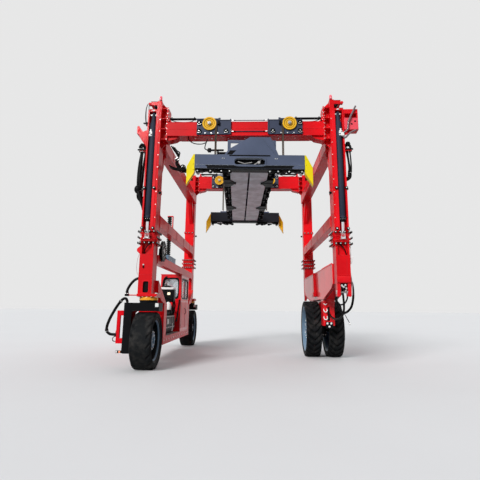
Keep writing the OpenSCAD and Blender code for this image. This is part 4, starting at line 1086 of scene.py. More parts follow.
# Masts and beams
@dataclass(frozen=True)
class Masts:
    """Cylinders, collars, flanges and fittings of the masts, most of them drawn in a mast's own frame."""
    gland_z: float = 3.28
    barrel_top: float = 5.64
    barrel_r: float = 0.076
    rod_r: float = 0.0562
    collar_z: tuple[float, float, float] = (2.71, 2.84, 2.97)
    band_z: float = 3.975
    bundle_x: float = 2.44
    front_y: float = -3.05
    flanges: tuple[tuple[float, float], tuple[float, float]] = ((5.18, 6.03), (5.56, 6.15))

    def cylinders(self) -> None:
        """Barrels with gland, port, weld ring and clevis."""
        r, bore, z, top = self.barrel_r, self.rod_r, self.gland_z, self.barrel_top
        barrel = turned([(bore, z + 0.002), (r - 0.004, z), (r + 0.0009, z + 0.006), (r + 0.0009, z + 0.05),
                         (r - 0.006, z + 0.058), (r - 0.006, z + 0.075), (r, z + 0.085), (r, 4.2),
                         (r + 0.0006, 4.21), (r + 0.0006, 4.23), (r, 4.24), (r, top - 0.02),
                         (r - 0.012, top)])
        ring = turned([(bore, z + 0.004), (r - 0.008, z - 0.004), (r - 0.006, z - 0.012),
                       (0.0565, z - 0.014)])
        neck = turned([(0.0565, z - 0.016), (0.0565, z - 0.075), (0.062, z - 0.075), (0.062, z - 0.016)],
                      looped=True)
        wings = prism([(-0.135, 0.03), (-0.1, 0.05), (0.1, 0.05), (0.135, 0.03), (0.1, 0.072),
                       (-0.1, 0.072)], 2, z + 0.012, z + 0.034)
        eye = turned([(0.062, top), (0.056, top + 0.06), (0.042, top + 0.19), (0.034, top + 0.269)])
        pin = turned([(0.022, -0.07), (0.026, -0.068), (0.026, 0.068), (0.022, 0.07)], Way.RIGHT,
                     (0, 0, top + 0.2), 16)
        lug = prism(oval((0, top + 0.2), (0.05, 0.056), 2, 24), 0, -0.03, 0.03, 0.006)
        port = slab((0.0, 0.078), (0.052, 0.086), (top - 0.37, top - 0.245), 0.008)
        port += slab((0.02, 0.06), (0.05, 0.08), (top - 0.25, top - 0.19), 0.006)
        screws = bolts(0.012, 0.01, Way.BACK,
                       np.array([(0.02, 0.086, top - 0.33), (0.058, 0.086, top - 0.29)]))
        heads = bolts(0.008, 0.008, Way.DOWN, circle((0, 0, z - 0.002), 0.067, 8, 2))
        piece = Piece("lift_cylinders", "upper_frame")
        for finish, form in ((BARREL, barrel + eye + lug), (ZINC, pin + heads),
                             (BLACK, ring + neck + wings + screws), (WHITE, port)):
            piece.add(finish, form.at((SIZES.barrel_x, SIZES.barrel_y, 0)).corners())
        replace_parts(piece.build(), "lift_barrels")

    def collars(self) -> None:
        """Studs and slide strips of the collars and the upper band: black discs, each with a white tip as a
        painted highlight.
        """
        spots = [(Way.FRONT, row((-0.15, -0.247, z), (0.15, -0.247, z), 5)) for z in self.collar_z]
        spots += [(Way.BACK, row((-0.15, 0.247, z), (0.15, 0.247, z), 4)) for z in self.collar_z[::2]]
        spots += [(way, row((x, -0.21, z), (x, 0.21, z), 5)) for z in self.collar_z
                  for way, x in ((Way.RIGHT, 0.207), (Way.LEFT, -0.207))]
        spots += [(Way.FRONT, row((-0.12, -0.215, self.band_z), (0.12, -0.215, self.band_z), 3)),
                  (Way.RIGHT, row((0.175, -0.17, self.band_z), (0.175, 0.17, self.band_z), 3))]
        stud = turned([(0.027, 0), (0.027, 0.01), (0.022, 0.014)], sides=14)
        tip = turned([(0.012, 0), (0.012, 0.022), (0.008, 0.025)], sides=10)
        big = turned([(0.036, 0), (0.036, 0.02), (0.028, 0.026)], sides=18)
        hub = turned([(0.016, 0), (0.016, 0.036), (0.01, 0.04)], sides=12)
        clamps = [(Way.BACK, [(-0.085, 0.215, 3.99), (0.142, 0.215, 3.99), (-0.105, 0.2, 3.05),
                              (0.143, 0.2, 3.05)])]
        knob = turned([(0.02, 0), (0.03, 0.01), (0.03, 0.05), (0.018, 0.06)], Way.LEFT,
                      (-0.176, 0.12, 3.9), 14)
        strips = slab((-0.165, 0.165), (0.222, 0.243), (2.748, 2.76), 0.002).mirrored(1)
        piece = Piece("collar_studs", "upper_frame")
        piece.add(BLACK, (stud.on(spots) + big.on(clamps) + knob).corners())
        # White tips and hubs on the black studs and clamps: painted highlights.
        piece.add(WHITE, (tip.on(spots) + hub.on(clamps)).corners())
        piece.add(RED, strips.at(*((0, 0, z) for z in (0, 0.034, 0.13, 0.164))).corners())
        piece.build()

    def flange_bolts(self) -> None:
        """Bolts through the flange plates beside the beams, and shelf edges."""
        piece = Piece("flange_bolts", "upper_frame")
        for sy, (low, high), beam in zip((-1, 1), self.flanges, (SIZES.front_z, SIZES.rear_z)):
            rows = np.vstack([row((-0.32, y, low + 0.04), (-0.32, y, high - 0.04), 9)
                              for y in (-0.152, 0.152)])
            free = (rows[:, 2] > beam[1] + 0.02) | (rows[:, 2] < beam[0] - 0.14)
            edge = row((-0.305, 0.17, low + 0.03), (-0.305, 0.17, high - 0.03), 7)
            heads = bolts(0.013, 0.014, Way.LEFT, rows[free]) + bolts(0.008, 0.008, Way.BACK, edge)
            heads += bolts(0.013, 0.014, Way.RIGHT, rows + (0.03, 0, 0))
            piece.add(ZINC, heads.corners(ys=(sy,)))
        piece.build()

    def heads(self) -> None:
        """Head plates, slide strips, cable clips and weld seams, and hose loops on the front left mast."""
        piece = Piece("mast_heads", "upper_frame")
        cap = slab((-0.054, 0.108), (-0.203, 0.203), (6.166, 6.175), 0.002)
        roller = turned([(0.02, -0.19), (0.033, -0.185), (0.033, 0.185), (0.02, 0.19)], Way.BACK,
                        (0.0, 0, 6.05), 18)
        sill = slab((-0.054, 0.158), (0.12, 0.203), (5.966, 5.974), 0.002)
        pin = prism(oval((0.03, 5.935), (0.036, 0.016), 2, 20), 1, 0.198, 0.212, 0.004)
        strip = slab((0.1595, 0.1635), (0.05, 0.19), (3.02, 5.88), 0.001)
        seam = tube(np.array([(-0.161, -0.201, 2.99), (-0.161, -0.201, 6.17)]), 0.004, 6)
        lip = slab((-0.11, -0.04), (0.2, 0.206), (3.02, 5.9), 0.002)
        knob = turned([(0.02, -0.04), (0.034, -0.038), (0.034, 0.038), (0.02, 0.04)], Way.BACK,
                      (0.135, 0.17, 6.11), 16)
        clips = bolts(0.007, 0.008, Way.BACK, row((-0.135, 0.203, 3.3), (-0.135, 0.203, 5.7), 9))
        for finish, form in ((BLACK, cap + roller + sill), (WHITE, pin),
                             (RED_CLEAN, strip + seam + lip + knob), (ZINC, clips)):
            piece.add(finish, form.corners())
        loops = [[(0.1, 0.18, 6.13), (0.15, 0.2, 6.13), (0.2, 0.2, 6.06), (0.222, 0.2, 5.93),
                  (0.222, 0.2, 5.76), (0.205, 0.2, 5.62)],
                 [(0.1, 0.16, 6.1), (0.13, 0.2, 6.09), (0.15, 0.21, 6.03), (0.14, 0.21, 5.96),
                  (0.11, 0.2, 5.93)],
                 [(0.1, 0.19, 6.11), (0.17, 0.21, 6.1), (0.205, 0.21, 6.0), (0.21, 0.21, 5.85),
                  (0.195, 0.21, 5.63)]]
        piece.add(HOSE, *(pipe(line, 0.0075).corner(-1, -1) for line in loops))
        bracket = slab((0.15, 0.26), (0.17, 0.22), (5.59, 5.615), 0.003)
        bracket += slab((0.17, 0.2), (0.17, 0.2), (5.54, 5.64))
        piece.add(BLACK, bracket.corner(-1, -1))
        piece.build()

    def bundle_ends(self, piece: Piece, s: int, way: Way, lower: float, count: int) -> None:
        """Clamps of one hose bundle, and the arcs by which its hoses enter the upper one.

        Args:
            piece: where they go.
            s: -1 for the left mast, 1 for the right one.
            way: outwards.
            lower: height of the lower clamp.
            count: how many arcs there are.
        """
        x = s * self.bundle_x
        piece.add(BLACK, prism(oval((-2.96, lower), (0.085, 0.07), 5, 20), 0, s * 2.336, s * 2.352),
                  *(slab((x - 0.12, x + 0.1), (y, y + 0.025), (4.945, 4.985), 0.006)
                    for y in (-3.075, -2.95)))
        piece.add(ZINC, bolts(0.009, 0.01, way, circle((s * 2.352, -2.96, lower), 0.062, 4, 0, 45)))
        cuff = turned([(0.016, 0), (0.019, 0.004), (0.019, 0.02), (0.016, 0.024)], sides=10)
        for k in range(count):
            y, start, rise = self.front_y + 0.02 * k, x + 0.022 * (k % 3) - 0.09, 0.015 * (k % 4)
            arc = [(start, y, 4.98), (start + 0.005, y, 5.06 + rise), (start + 0.05, y, 5.1 + rise),
                   (start + 0.1, y, 5.05 + 0.01 * (k % 3)), (start + 0.12, y, 4.98)]
            piece.add(HOSE, pipe(arc, 0.013)).add(WHITE, cuff.at((start, y, 4.985)))

    def fittings(self) -> None:
        """Hook, box with its struts, and the clamps and couplings of the hose bundles on the front masts."""
        piece = Piece("mast_fittings", "upper_frame")
        self.bundle_ends(piece, -1, Way.LEFT, 3.75, 6)
        self.bundle_ends(piece, 1, Way.RIGHT, 4.255, 3)
        knot = turned([(0.02, -0.1), (0.06, -0.08), (0.085, -0.03), (0.085, 0.03), (0.06, 0.08), (0.02, 0.1)],
                      place=(-2.5, -3.03, 3.99), sides=24)
        band = [(-2.5, -3.05, 3.98), (-2.45, -3.06, 3.85), (-2.4, -3.06, 3.7), (-2.352, -3.05, 3.58),
                (-2.332, -3.04, 3.5)]
        ball = turned([(0.012, -0.06), (0.045, -0.045), (0.06, 0.0), (0.045, 0.045), (0.012, 0.06)],
                      place=(2.43, -3.03, 5.1), sides=24)
        piece.add(BLACK, knot, pipe(band, 0.045, 14), ball)
        gusset = prism([(-2.585, 5.36), (-2.336, 5.0), (-2.336, 5.1), (-2.54, 5.4)], 1, -3.01, -2.985)
        hook = turned([(0.02, -0.075), (0.034, -0.073), (0.034, 0.073), (0.02, 0.075)], Way.BACK,
                      (-2.555, -3.06, 5.44), 20)
        shelf = slab((2.337, 2.673), (-3.136, -3.128), (5.83, 5.945))
        brace = prism([(2.336, 5.42), (2.6, 5.42), (2.336, 5.3)], 1, -3.05, -3.03)
        piece.add(RED_CLEAN, gusset, hook, shelf, brace)
        piece.add(PINK_RED,
                  prism([(2.345, 5.44), (2.36, 5.42), (2.64, 5.42), (2.672, 5.45), (2.672, 5.7),
                         (2.64, 5.72), (2.345, 5.72)], 1, -3.142, -3.13))
        holes = np.array([(2.44, -3.142, 5.63), (2.52, -3.142, 5.56), (2.6, -3.142, 5.63)])
        piece.add(BLACK, bolts(0.016, 0.002, Way.FRONT, holes))
        piece.add(STRUT,
                  pipe([(2.62, -3.18, 6.0), (2.44, -3.2, 5.62), (2.4, -3.2, 5.4), (2.285, -3.175, 5.31)],
                       0.021, 12),
                  pipe([(2.6, -3.16, 5.4), (2.46, -3.18, 5.32), (2.34, -3.18, 5.2), (2.285, -3.175, 5.28)],
                       0.021, 12))
        piece.add(WHITE, slab((2.245, 2.325), (-3.2, -3.155), (5.24, 5.34), 0.012))
        piece.build()

    def lamps(self) -> None:
        """Beacons on the front masts: foot, ribbed lens and cap."""
        foot = turned([(0.039, 0), (0.039, 0.03), (0.034, 0.04)], sides=20)
        lens = turned([(0.031, 0.04), (0.0335, 0.045), (0.0335, 0.118), (0.031, 0.132), (0.02, 0.147),
                       (0.006, 0.152)], sides=24)
        places = ((-2.06, -3.09, 6.19), (2.06, -3.09, 6.19))
        piece = Piece("beacons_dressed", "upper_frame")
        piece.add(RED_LAMP, lens.at(*places)).add(BLACK, foot.at(*places))
        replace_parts(piece.build(), "beacons")

    def build(self) -> None:
        """Builds all pieces of the masts."""
        self.cylinders()
        self.collars()
        self.flange_bolts()
        self.heads()
        self.fittings()
        self.lamps()


@dataclass(frozen=True)
class Beams:
    """Trims of the crossbeams and the side frames, with the side shift cylinders."""
    front_shift: tuple[float, float, float] = (-3.07, 5.74, 5.64)
    rear_shift: tuple[float, float, float] = (2.83, 6.24, 6.14)

    def crossbeams(self) -> None:
        """Middle rib, web seams, drain holes and end lugs."""
        piece = Piece("crossbeam_trim", "upper_frame")
        for y, (low, high) in ((-SIZES.mast_y, SIZES.front_z), (SIZES.mast_y, SIZES.rear_z)):
            mid = (low + high) / 2
            lips = ((1.85, 0.004, mid - 0.006, mid + 0.006), (1.85, 0.005, high - 0.012, high + 0.003),
                    (1.56, 0.005, low - 0.004, low + 0.012))
            for face in (y - 0.175, y + 0.175):
                piece.add(RED_CLEAN, *(slab((-x, x), (face - half, face + half), (bottom, top), 0.002)
                                       for x, half, bottom, top in lips))
            lug = prism([(1.84, high), (1.84, high + 0.06), (1.77, high + 0.03), (1.75, high)], 1, y - 0.15,
                        y - 0.135, 0.002)
            piece.add(RED_CLEAN, lug.mirrored())
        piece.add(ZINC, bolts(0.012, 0.01, Way.DOWN, row((-1.2, -2.95, 5.29), (1.2, -2.95, 5.29), 7)))
        piece.build()

    def shift_cylinders(self) -> None:
        """Barrels on the beams with end caps, ports, pipes and feet."""
        piece = Piece("shift_cylinders", "upper_frame")
        for y, z, beam in (self.front_shift, self.rear_shift):
            barrel = turned([(0.0166, 0), (0.028, 0.0), (0.0318, 0.006), (0.0318, 0.05), (0.028, 0.056),
                             (0.028, 0.56), (0.0318, 0.566), (0.0318, 0.63), (0.022, 0.64)], Way.RIGHT,
                            (1.185, y, z), 20)
            foot = prism([(1.795, beam + 0.001), (1.855, beam + 0.001), (1.855, z + 0.03), (1.84, z + 0.03),
                          (1.795, beam + 0.05)], 1, y - 0.03, y + 0.03)
            port = turned([(0.012, 0.02), (0.012, 0.05), (0.008, 0.055)], sides=10)
            line = pipe([(1.24, y, z - 0.03), (1.3, y, z - 0.065), (1.45, y, z - 0.08), (1.65, y, z - 0.07),
                         (1.77, y, z - 0.03)], 0.009)
            dark = barrel + line + port.at((1.22, y, z), (1.77, y, z))
            piece.add(BLACK, dark.mirrored()).add(RED_CLEAN, foot.mirrored())
        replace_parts(piece.build(), "shift_barrels")

    def side_frames(self) -> None:
        """Ribs and node plates along the side beams."""
        piece = Piece("side_frame_trim", "upper_frame")
        ribs = [slab((1.945, 1.955), (-2.75, 2.75), (z - 0.008, z + 0.008), 0.002) for z in (5.075, 5.355)]
        for y in (-1.8, -0.6, 0.6, 1.8):
            ribs += [slab((1.944, 1.952), (y - 0.006, y + 0.006), (5.08, 5.35), 0.002),
                     slab((1.994, 2.002), (y - 0.006, y + 0.006), (3.18, 3.41), 0.002)]
        ribs.append(rod((2.11, 2.6, 4.42), (2.11, 2.4, 4.78), 0.012, 8).mirrored(1))
        piece.add(RED_CLEAN, *(rib.mirrored() for rib in ribs))
        piece.build()

    def lines(self) -> None:
        """Hoses in tangles under the left side of the front beam, a loop and the switch bar under it."""
        piece = Piece("beam_hoses", "upper_frame")
        cuff = turned([(0.018, 0), (0.022, 0.004), (0.022, 0.03), (0.018, 0.034)], sides=10)
        for k in range(5):
            y, dx, dz = -2.86 + 0.05 * k, 0.03 * (k % 3), 0.04 * (k % 2)
            tangle = [(-1.8 + dx, y, 5.14), (-1.74 + dx, y, 5.06), (-1.66 + dx, y, 4.98 - dz),
                      (-1.64 - dx, y + 0.02, 4.84), (-1.68 + dx, y + 0.05, 4.7),
                      (-1.6 + dx, y + 0.08, 4.6 - dz), (-1.5 + dx, y + 0.1, 4.56),
                      (-1.46 - dx, y + 0.14, 4.64), (-1.54, y + 0.2, 4.72 - dz),
                      (-1.66 + dx, y + 0.26, 4.66), (-1.8, y + 0.3, 4.7), (-1.9, y + 0.36, 4.76)]
            piece.add(HOSE, pipe(tangle, 0.015)).add(ZINC, cuff.at((-1.64 - dx, y + 0.02, 4.83)))
        piece.add(HOSE, *(rod((-1.75, -2.83, z), (1.75, -2.83, z), 0.007, 8) for z in (5.66, 5.676, 5.692)))
        y = -3.05
        loop = [(-1.36, y, 5.29), (-1.33, y, 5.2), (-1.2, y, 5.12), (-1.02, y, 5.11), (-0.92, y, 5.16),
                (-0.9, y, 5.22), (-0.95, y, 5.05), (-0.94, y, 4.98), (-0.86, y, 4.95)]
        piece.add(HOSE, pipe(loop, 0.012))
        piece.add(BLACK, slab((-0.9, -0.5), (y - 0.02, y + 0.02), (4.93, 4.97), 0.006),
                  slab((-0.88, -0.8), (y - 0.03, y + 0.03), (4.9, 5.0), 0.01),
                  rod((-0.7, y, 4.95), (-0.7, y, 5.3), 0.014, 8))
        piece.build()

    def build(self) -> None:
        """Builds all pieces of the beams."""
        self.crossbeams()
        self.shift_cylinders()
        self.side_frames()
        self.lines()


@dataclass(frozen=True)
class Trolleys:
    """Saddles on the beams with rollers, sheaves and ropes."""
    rope_half: float = 0.79
    sheave_r: float = 0.16
    pulley_x: float = 0.95
    rope_low: float = 4.7633

    def sheave(self, name: str, body: str, place: tuple[float, float, float]) -> None:
        """One rope sheave: grooved rim, recessed web with two rings of painted shade, and a hub.

        Args:
            name: the CAD node.
            body: its body.
            place: its middle.
        """
        r = self.sheave_r
        side = [(r - 0.0115, 0.01), (r + 0.006, 0.013), (r + 0.006, 0.017), (r + 0.004, 0.0195),
                (r - 0.03, 0.018), (r - 0.036, 0.009), (0.07, 0.009), (0.062, 0.018), (0.04, 0.0195),
                (0.0288, 0.019)]
        dark = joined(turned([(a, 0.0085), (a + 0.002, 0.0125), (a + 0.007, 0.0125), (a + 0.009, 0.0085)],
                             sides=48, looped=True) for a in (0.074, 0.114))
        groove = turned([(r - 0.0118, -0.009), (r - 0.0108, -0.0095), (r - 0.0108, 0.0095),
                         (r - 0.0118, 0.009)], Way.BACK, place, 64, True)
        piece = Piece(name + "_dressed", body).add(AMBER, turned(both_ways(side), Way.BACK, place, 64, True))
        # Brown rings on both faces of the web: painted shade in the grooves.
        piece.add(RIM_SHADE, dark.facing(Way.FRONT).at(place), dark.facing(Way.BACK).at(place))
        piece.add(BLACK, groove)
        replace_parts(piece.build(), name)

    def pair(self, name: str, body: str, cx: float, plate_y: float, back_y: float, low: float, high: float,
             reach: float, pulley_z: float) -> None:
        """Trims of one beam's two saddles: rollers with a painted highlight arc, lips, hub bolts, wipers and
        a limit switch.

        Args:
            name: the piece's name.
            body: the trolleys' body.
            cx: the middle between both saddles.
            plate_y: the front plate's face.
            back_y: the back plate's face.
            low: the plates' lower edge.
            high: height of the beam's top.
            reach: how far the sheave's hub stands out past the front plate.
            pulley_z: height of the sheaves.
        """
        piece = Piece(name, body)
        roller = turned([(0.04, -0.008), (0.056, -0.004), (0.056, 0.012), (0.05, 0.018), (0.046, 0.01),
                         (0.028, 0.012), (0.024, 0.02)], Way.FRONT, sides=24)
        # Zinc arc on a third of each roller's rim: a painted highlight.
        shine = tube(circle((0, -0.014, 0), 0.05, 24, 1)[8:17], 0.005, 6)
        cap = turned([(0.04, -0.004), (0.044, 0.0), (0.044, 0.012), (0.036, 0.018)], Way.FRONT, sides=24)
        spots = ((1.195, high - 0.04), (1.195, low + 0.08), (0.555, low + 0.08))
        for s in (-1, 1):
            rollers = [(cx + s * x, plate_y - 0.022, z) for x, z in spots]
            piece.add(BLACK, roller.at(*rollers))
            piece.add(ZINC, shine.at(*rollers),
                      bolts(0.01, 0.012, Way.FRONT, np.array(rollers) - (0, 0.018, 0)))
            edge = (cx + s * 0.447 - 0.012, cx + s * 0.447 + 0.012)
            span = sorted((cx + s * 0.45, cx + s * 1.25))
            face = (plate_y - 0.012, plate_y + 0.004)
            piece.add(DARK, slab(edge, (plate_y - 0.03, plate_y + 0.002), (low, high + 0.055), 0.003),
                      slab(edge, (back_y + 0.018, back_y + 0.045), (low, high + 0.055), 0.003),
                      slab(span, face, (low - 0.002, low + 0.018), 0.003),
                      slab(span, face, (high + 0.026, high + 0.042), 0.003))
            ends = row((cx + s * 0.75, plate_y - 0.001, low + 0.035),
                       (cx + s * 1.05, plate_y - 0.001, low + 0.035), 3)
            piece.add(ZINC, bolts(0.011, 0.01, Way.FRONT, ends))
            hub = np.array([(cx + s * self.pulley_x, plate_y - reach - 0.0615, pulley_z)])
            piece.add(STEEL, cap.at(hub), bolts(0.022, 0.016, Way.FRONT, hub - (0, 0.018, 0)))
            guard = cx + s * (self.pulley_x - 0.22)
            piece.add(BLACK, slab((guard - 0.03, guard + 0.03), (plate_y - 0.055, plate_y + 0.002),
                                  (pulley_z - 0.03, pulley_z + 0.06), 0.005))
            for z in (high + 0.028, low + 0.08):
                ends = row((cx + s * 0.33, plate_y + 0.01, z), (cx + s * 0.435, plate_y + 0.01, z), 2)
                piece.add(BLACK, rod(*ends, 0.0125, 12))
                piece.add(ZINC,
                          rod((cx + s * 0.4 - 0.03, plate_y + 0.01, z),
                              (cx + s * 0.4 + 0.03, plate_y + 0.01, z), 0.015, 6))
        piece.build()

    def ropes(self) -> None:
        """Four laid ropes from the sheaves to their sockets, hanging between trolley and spreader."""
        for name, cx, y, top in (("hoist_ropes_front", 0.105, -3.177, 5.575),
                                 ("hoist_ropes_rear", -0.135, 2.493, 5.905)):
            places = [cx + s * self.rope_half + dx for s in (-1, 1) for dx in (-0.013, 0.013)]
            piece = Piece(name + "_laid", "front_trolleys")
            piece.add(ROPE, *(strand((x, y, self.rope_low), (x, y, top), 0.0125) for x in places))
            made = piece.build(ride=False)
            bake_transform(made)
            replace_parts(made, name)

    def build(self) -> None:
        """Builds both pairs with their sheaves and ropes."""
        self.pair("trolley_front_trim", "front_trolleys", 0.105, -3.151, -2.769, 5.31, 5.64, 0.0, 5.575)
        self.pair("trolley_rear_trim", "rear_trolleys", -0.135, 2.749, 3.131, 5.69, 6.14, 0.23, 5.905)
        for s, side in ((-1, "left"), (1, "right")):
            self.sheave(f"sheave_front_{side}", f"front_{side}_sheave",
                        (0.105 + s * self.pulley_x, -3.177, 5.575))
            self.sheave(f"sheave_rear_{side}", f"rear_{side}_sheave",
                        (-0.135 + s * self.pulley_x, 2.493, 5.905))
        self.ropes()


# Legs and wheels
@dataclass(frozen=True)
class Legs:
    """Trims of the lower legs: pocket, slot, lugs, foot plates and slew rings."""
    foot_z: float = 1.59
    seat_z: float = 2.8
    outer_x: float = -2.325

    def left(self) -> None:
        """Flange bolts, plate edges and the slot's rim on the left legs, with a black sheet of painted shade
        inside the slot.
        """
        piece = Piece("leg_trim_left", "left_chassis")
        edge = np.array([(x, y) for x in (-0.19, 0.19) for y in (-0.19, -0.095, 0, 0.095, 0.19)]
                        + [(x, y) for x in (-0.095, 0, 0.095) for y in (-0.19, 0.19)])
        slot = frame_plate(oval((-0.02, 1.735), (0.086, 0.146), 6), oval((-0.02, 1.735), (0.062, 0.122), 6),
                           1, 0.19, 0.214)
        # Black sheet behind the slot: painted shade inside the leg.
        dark = slab((-0.084, 0.044), (0.146, 0.17), (1.612, 1.858), 0.001)
        for sy in (-1, 1):
            mid = (-SIZES.steer_x, sy * SIZES.mast_y)
            spots = np.column_stack([edge + mid, np.full(len(edge), self.foot_z)])
            free = (spots[:, 1] * sy > 3.17) | (spots[:, 1] * sy < 2.74)
            free |= np.abs(spots[:, 0] + SIZES.mast_x) > 0.165
            piece.add(WHITE, bolts(0.015, 0.02, Way.UP, spots[free]))
            piece.add(ZINC, bolts(0.014, 0.016, Way.DOWN, spots - (0, 0, 0.06)))
            skirt = prism(oval(mid, (0.2205, 0.2205), 9, 36), 2, 1.547, 1.573, 0.004)
            piece.add(RED_CLEAN, skirt, slot.corner(-1, sy)).add(BLACK, dark.corner(-1, sy))
        piece.build()

    def shared(self) -> None:
        """Rod seats, pocket cables, side flanges and bands of all four legs, in a mast's own frame."""
        place = (SIZES.barrel_x, SIZES.barrel_y, self.seat_z)
        seat = turned([(0.1, 0), (0.1, 0.012), (0.094, 0.016), (0.0555, 0.016), (0.0555, 0.0)], Way.UP,
                      place, 40, True)
        nuts = bolts(0.008, 0.01, Way.UP, circle(place, 0.08, 8, 2, 20) + (0, 0, 0.016))
        cable = pipe([(-0.09, 0.12, 2.745), (-0.05, 0.16, 2.7), (0.01, 0.17, 2.64), (0.06, 0.15, 2.56),
                      (0.09, 0.12, 2.465)], 0.013)
        rims = slab((-0.152, 0.152), (0.198, 0.2075), (2.752, 2.8), 0.003)
        rims += slab((-0.152, 0.152), (0.2, 0.2085), (2.445, 2.462), 0.003)
        for body, sx, low, band in (("left_chassis", -1, 1.59, 2.0), ("right_chassis", 1, 1.85, 2.02)):
            flanges = slab((0.139, 0.153), (0.2, 0.209), (low + 0.02, 2.45), 0.003).mirrored()
            strap = slab((-0.139, 0.139), (0.204, 0.2075), (band, band + 0.012), 0.001)
            piece = Piece(f"leg_seats_{body}", body)
            for finish, form in ((BLACK, seat), (ZINC, nuts), (RED_CLEAN, rims + flanges + strap),
                                 (HOSE, cable)):
                piece.add(finish, form.corners(xs=(sx,)))
            piece.build()

    def right(self) -> None:
        """Bottom bulge, lug faces and bolts of the right legs, and the cable and hoses on the outer side."""
        piece = Piece("leg_trim_right", "right_chassis")
        bulge = prism([(0.198, 1.852), (0.216, 1.862), (0.226, 1.89), (0.226, 1.965), (0.218, 1.99),
                       (0.198, 2.0)], 0, -0.146, 0.146, 0.012, 0.012)
        face = prism(oval((0.115, 1.7), (0.036, 0.142), 4, 28), 1, 0.182, 0.196, 0.006).mirrored()
        eye = turned([(0.046, -0.043), (0.05, -0.039), (0.05, 0.039), (0.046, 0.043)], Way.RIGHT, sides=24)
        axle = rod((-0.16, 0.085, 1.66), (0.16, 0.085, 1.66), 0.022, 14)
        block = slab((-0.07, 0.07), (-0.02, 0.16), (1.8, 1.849), 0.006)
        block += slab((-0.05, 0.05), (0.1, 0.164), (1.7, 1.83), 0.02)
        knots = np.array([(-0.045, 0.165, 1.8), (0.03, 0.165, 1.81), (-0.01, 0.165, 1.77),
                          (0.045, 0.16, 1.74)])
        zinc = eye.at((-0.115, 0.085, 1.66), (0.115, 0.085, 1.66)) + bolts(0.016, 0.016, Way.BACK, knots)
        for finish, form in ((RED_CLEAN, bulge + face), (ZINC, zinc), (STEEL, axle), (BLACK, block)):
            piece.add(finish, form.corners(xs=(1,)))
        wedge = prism([(2.326, 2.26), (2.326, 2.34), (2.37, 2.41), (2.41, 2.45), (2.4, 2.36), (2.36, 2.27)],
                      1, -3.1, -3.07)
        tie = prism([(2.326, 1.91), (2.345, 1.92), (2.35, 1.96), (2.335, 1.99), (2.326, 1.99)], 1, -3.06,
                    -3.03)
        cable = [(2.332, -3.08, 2.75), (2.36, -3.09, 2.6), (2.35, -3.08, 2.4), (2.338, -3.06, 2.2),
                 (2.345, -3.05, 2.05), (2.36, -3.045, 1.95), (2.37, -3.03, 1.8), (2.375, -2.99, 1.6)]
        outer = [(2.326, -2.88, 1.94), (2.36, -2.88, 1.93), (2.405, -2.87, 1.86), (2.425, -2.85, 1.7),
                 (2.42, -2.83, 1.52), (2.38, -2.8, 1.35), (2.3, -2.77, 1.25), (2.22, -2.75, 1.22),
                 (2.13, -2.76, 1.28), (2.07, -2.78, 1.4), (2.05, -2.8, 1.52), (2.06, -2.8, 1.6)]
        inner = [(2.3, -2.84, 1.6), (2.29, -2.82, 1.52), (2.25, -2.8, 1.44), (2.19, -2.79, 1.4),
                 (2.12, -2.8, 1.4), (2.07, -2.82, 1.47), (2.06, -2.84, 1.58)]
        piece.add(WHITE, wedge, tie, pipe(cable, 0.009))
        piece.add(HOSE, pipe(outer, 0.026, 12), pipe(inner, 0.017, 10))
        piece.add(BLACK, rod((2.2, -2.8, 1.24), (2.315, -2.88, 0.99), 0.008, 8))
        piece.add(ZINC, turned([(0.014, -0.02), (0.018, 0), (0.012, 0.03)], place=(2.315, -2.88, 0.98),
                               sides=12))
        piece.build()

    def box(self) -> None:
        """Lamp box, cable loop and sensors on the front left leg, and the clamp of the steering hoses."""
        piece = Piece("leg_fittings", "left_chassis")
        x = self.outer_x
        lid = [(x + 0.002, 2.45), (x + 0.002, 2.64), (x - 0.02, 2.64), (x - 0.085, 2.585), (x - 0.085, 2.53)]
        piece.add(RED_CLEAN, prism(lid, 1, -3.12, -3.0, 0.006))
        loop = [(x - 0.04, -3.05, 2.47), (x - 0.07, -3.06, 2.38), (x - 0.085, -3.06, 2.2),
                (x - 0.07, -3.05, 2.05), (x - 0.02, -3.04, 1.98), (x + 0.001, -3.02, 1.97)]
        piece.add(ZINC, pipe(loop, 0.007),
                  bolts(0.008, 0.01, Way.UP, circle((-2.6, -3.01, 1.59), 0.034, 4, 2, 45)))
        piece.add(BLACK, slab((x - 0.028, x + 0.002), (-3.04, -2.96), (1.885, 1.975), 0.005),
                  slab((-2.245, -2.215), (-3.178, -3.155), (2.15, 2.2)),
                  prism(oval((-2.6, -3.01), (0.043, 0.043), 6, 24), 2, 1.538, 1.59, 0.004))
        piece.add(WHITE, slab((-2.245, -2.215), (-3.178, -3.155), (2.205, 2.235)))
        piece.build()

    def slew_rings(self) -> None:
        """Orange rings with a dark lip and grease nipples between the left legs and their forks."""
        for name, sy in (("slew_ring_front", -1), ("slew_ring_rear", 1)):
            place = (-SIZES.steer_x, sy * SIZES.mast_y, 0)
            ring = turned([(0.19, 1.4402), (0.2046, 1.4405), (0.205, 1.446), (0.205, 1.492), (0.2, 1.498),
                           (0.2, 1.522), (0.196, 1.5295)], Way.UP, place, 72)
            lip = turned([(0.197, 1.4402), (0.2055, 1.4402), (0.2055, 1.4405), (0.2055, 1.452),
                          (0.2, 1.455)], Way.UP, place, 72)
            nipples = bolts(0.009, 0.006, Way.UP, circle(place, 0.2018, 4, 2, 30) + (0, 0, 1.4935))
            piece = Piece(name + "_dressed", "left_chassis")
            piece.add(ORANGE, ring).add(BLACK, lip).add(STEEL, nipples)
            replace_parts(piece.build(), name)

    def build(self) -> None:
        """Builds all pieces of the legs."""
        self.left()
        self.shared()
        self.right()
        self.box()
        self.slew_rings()


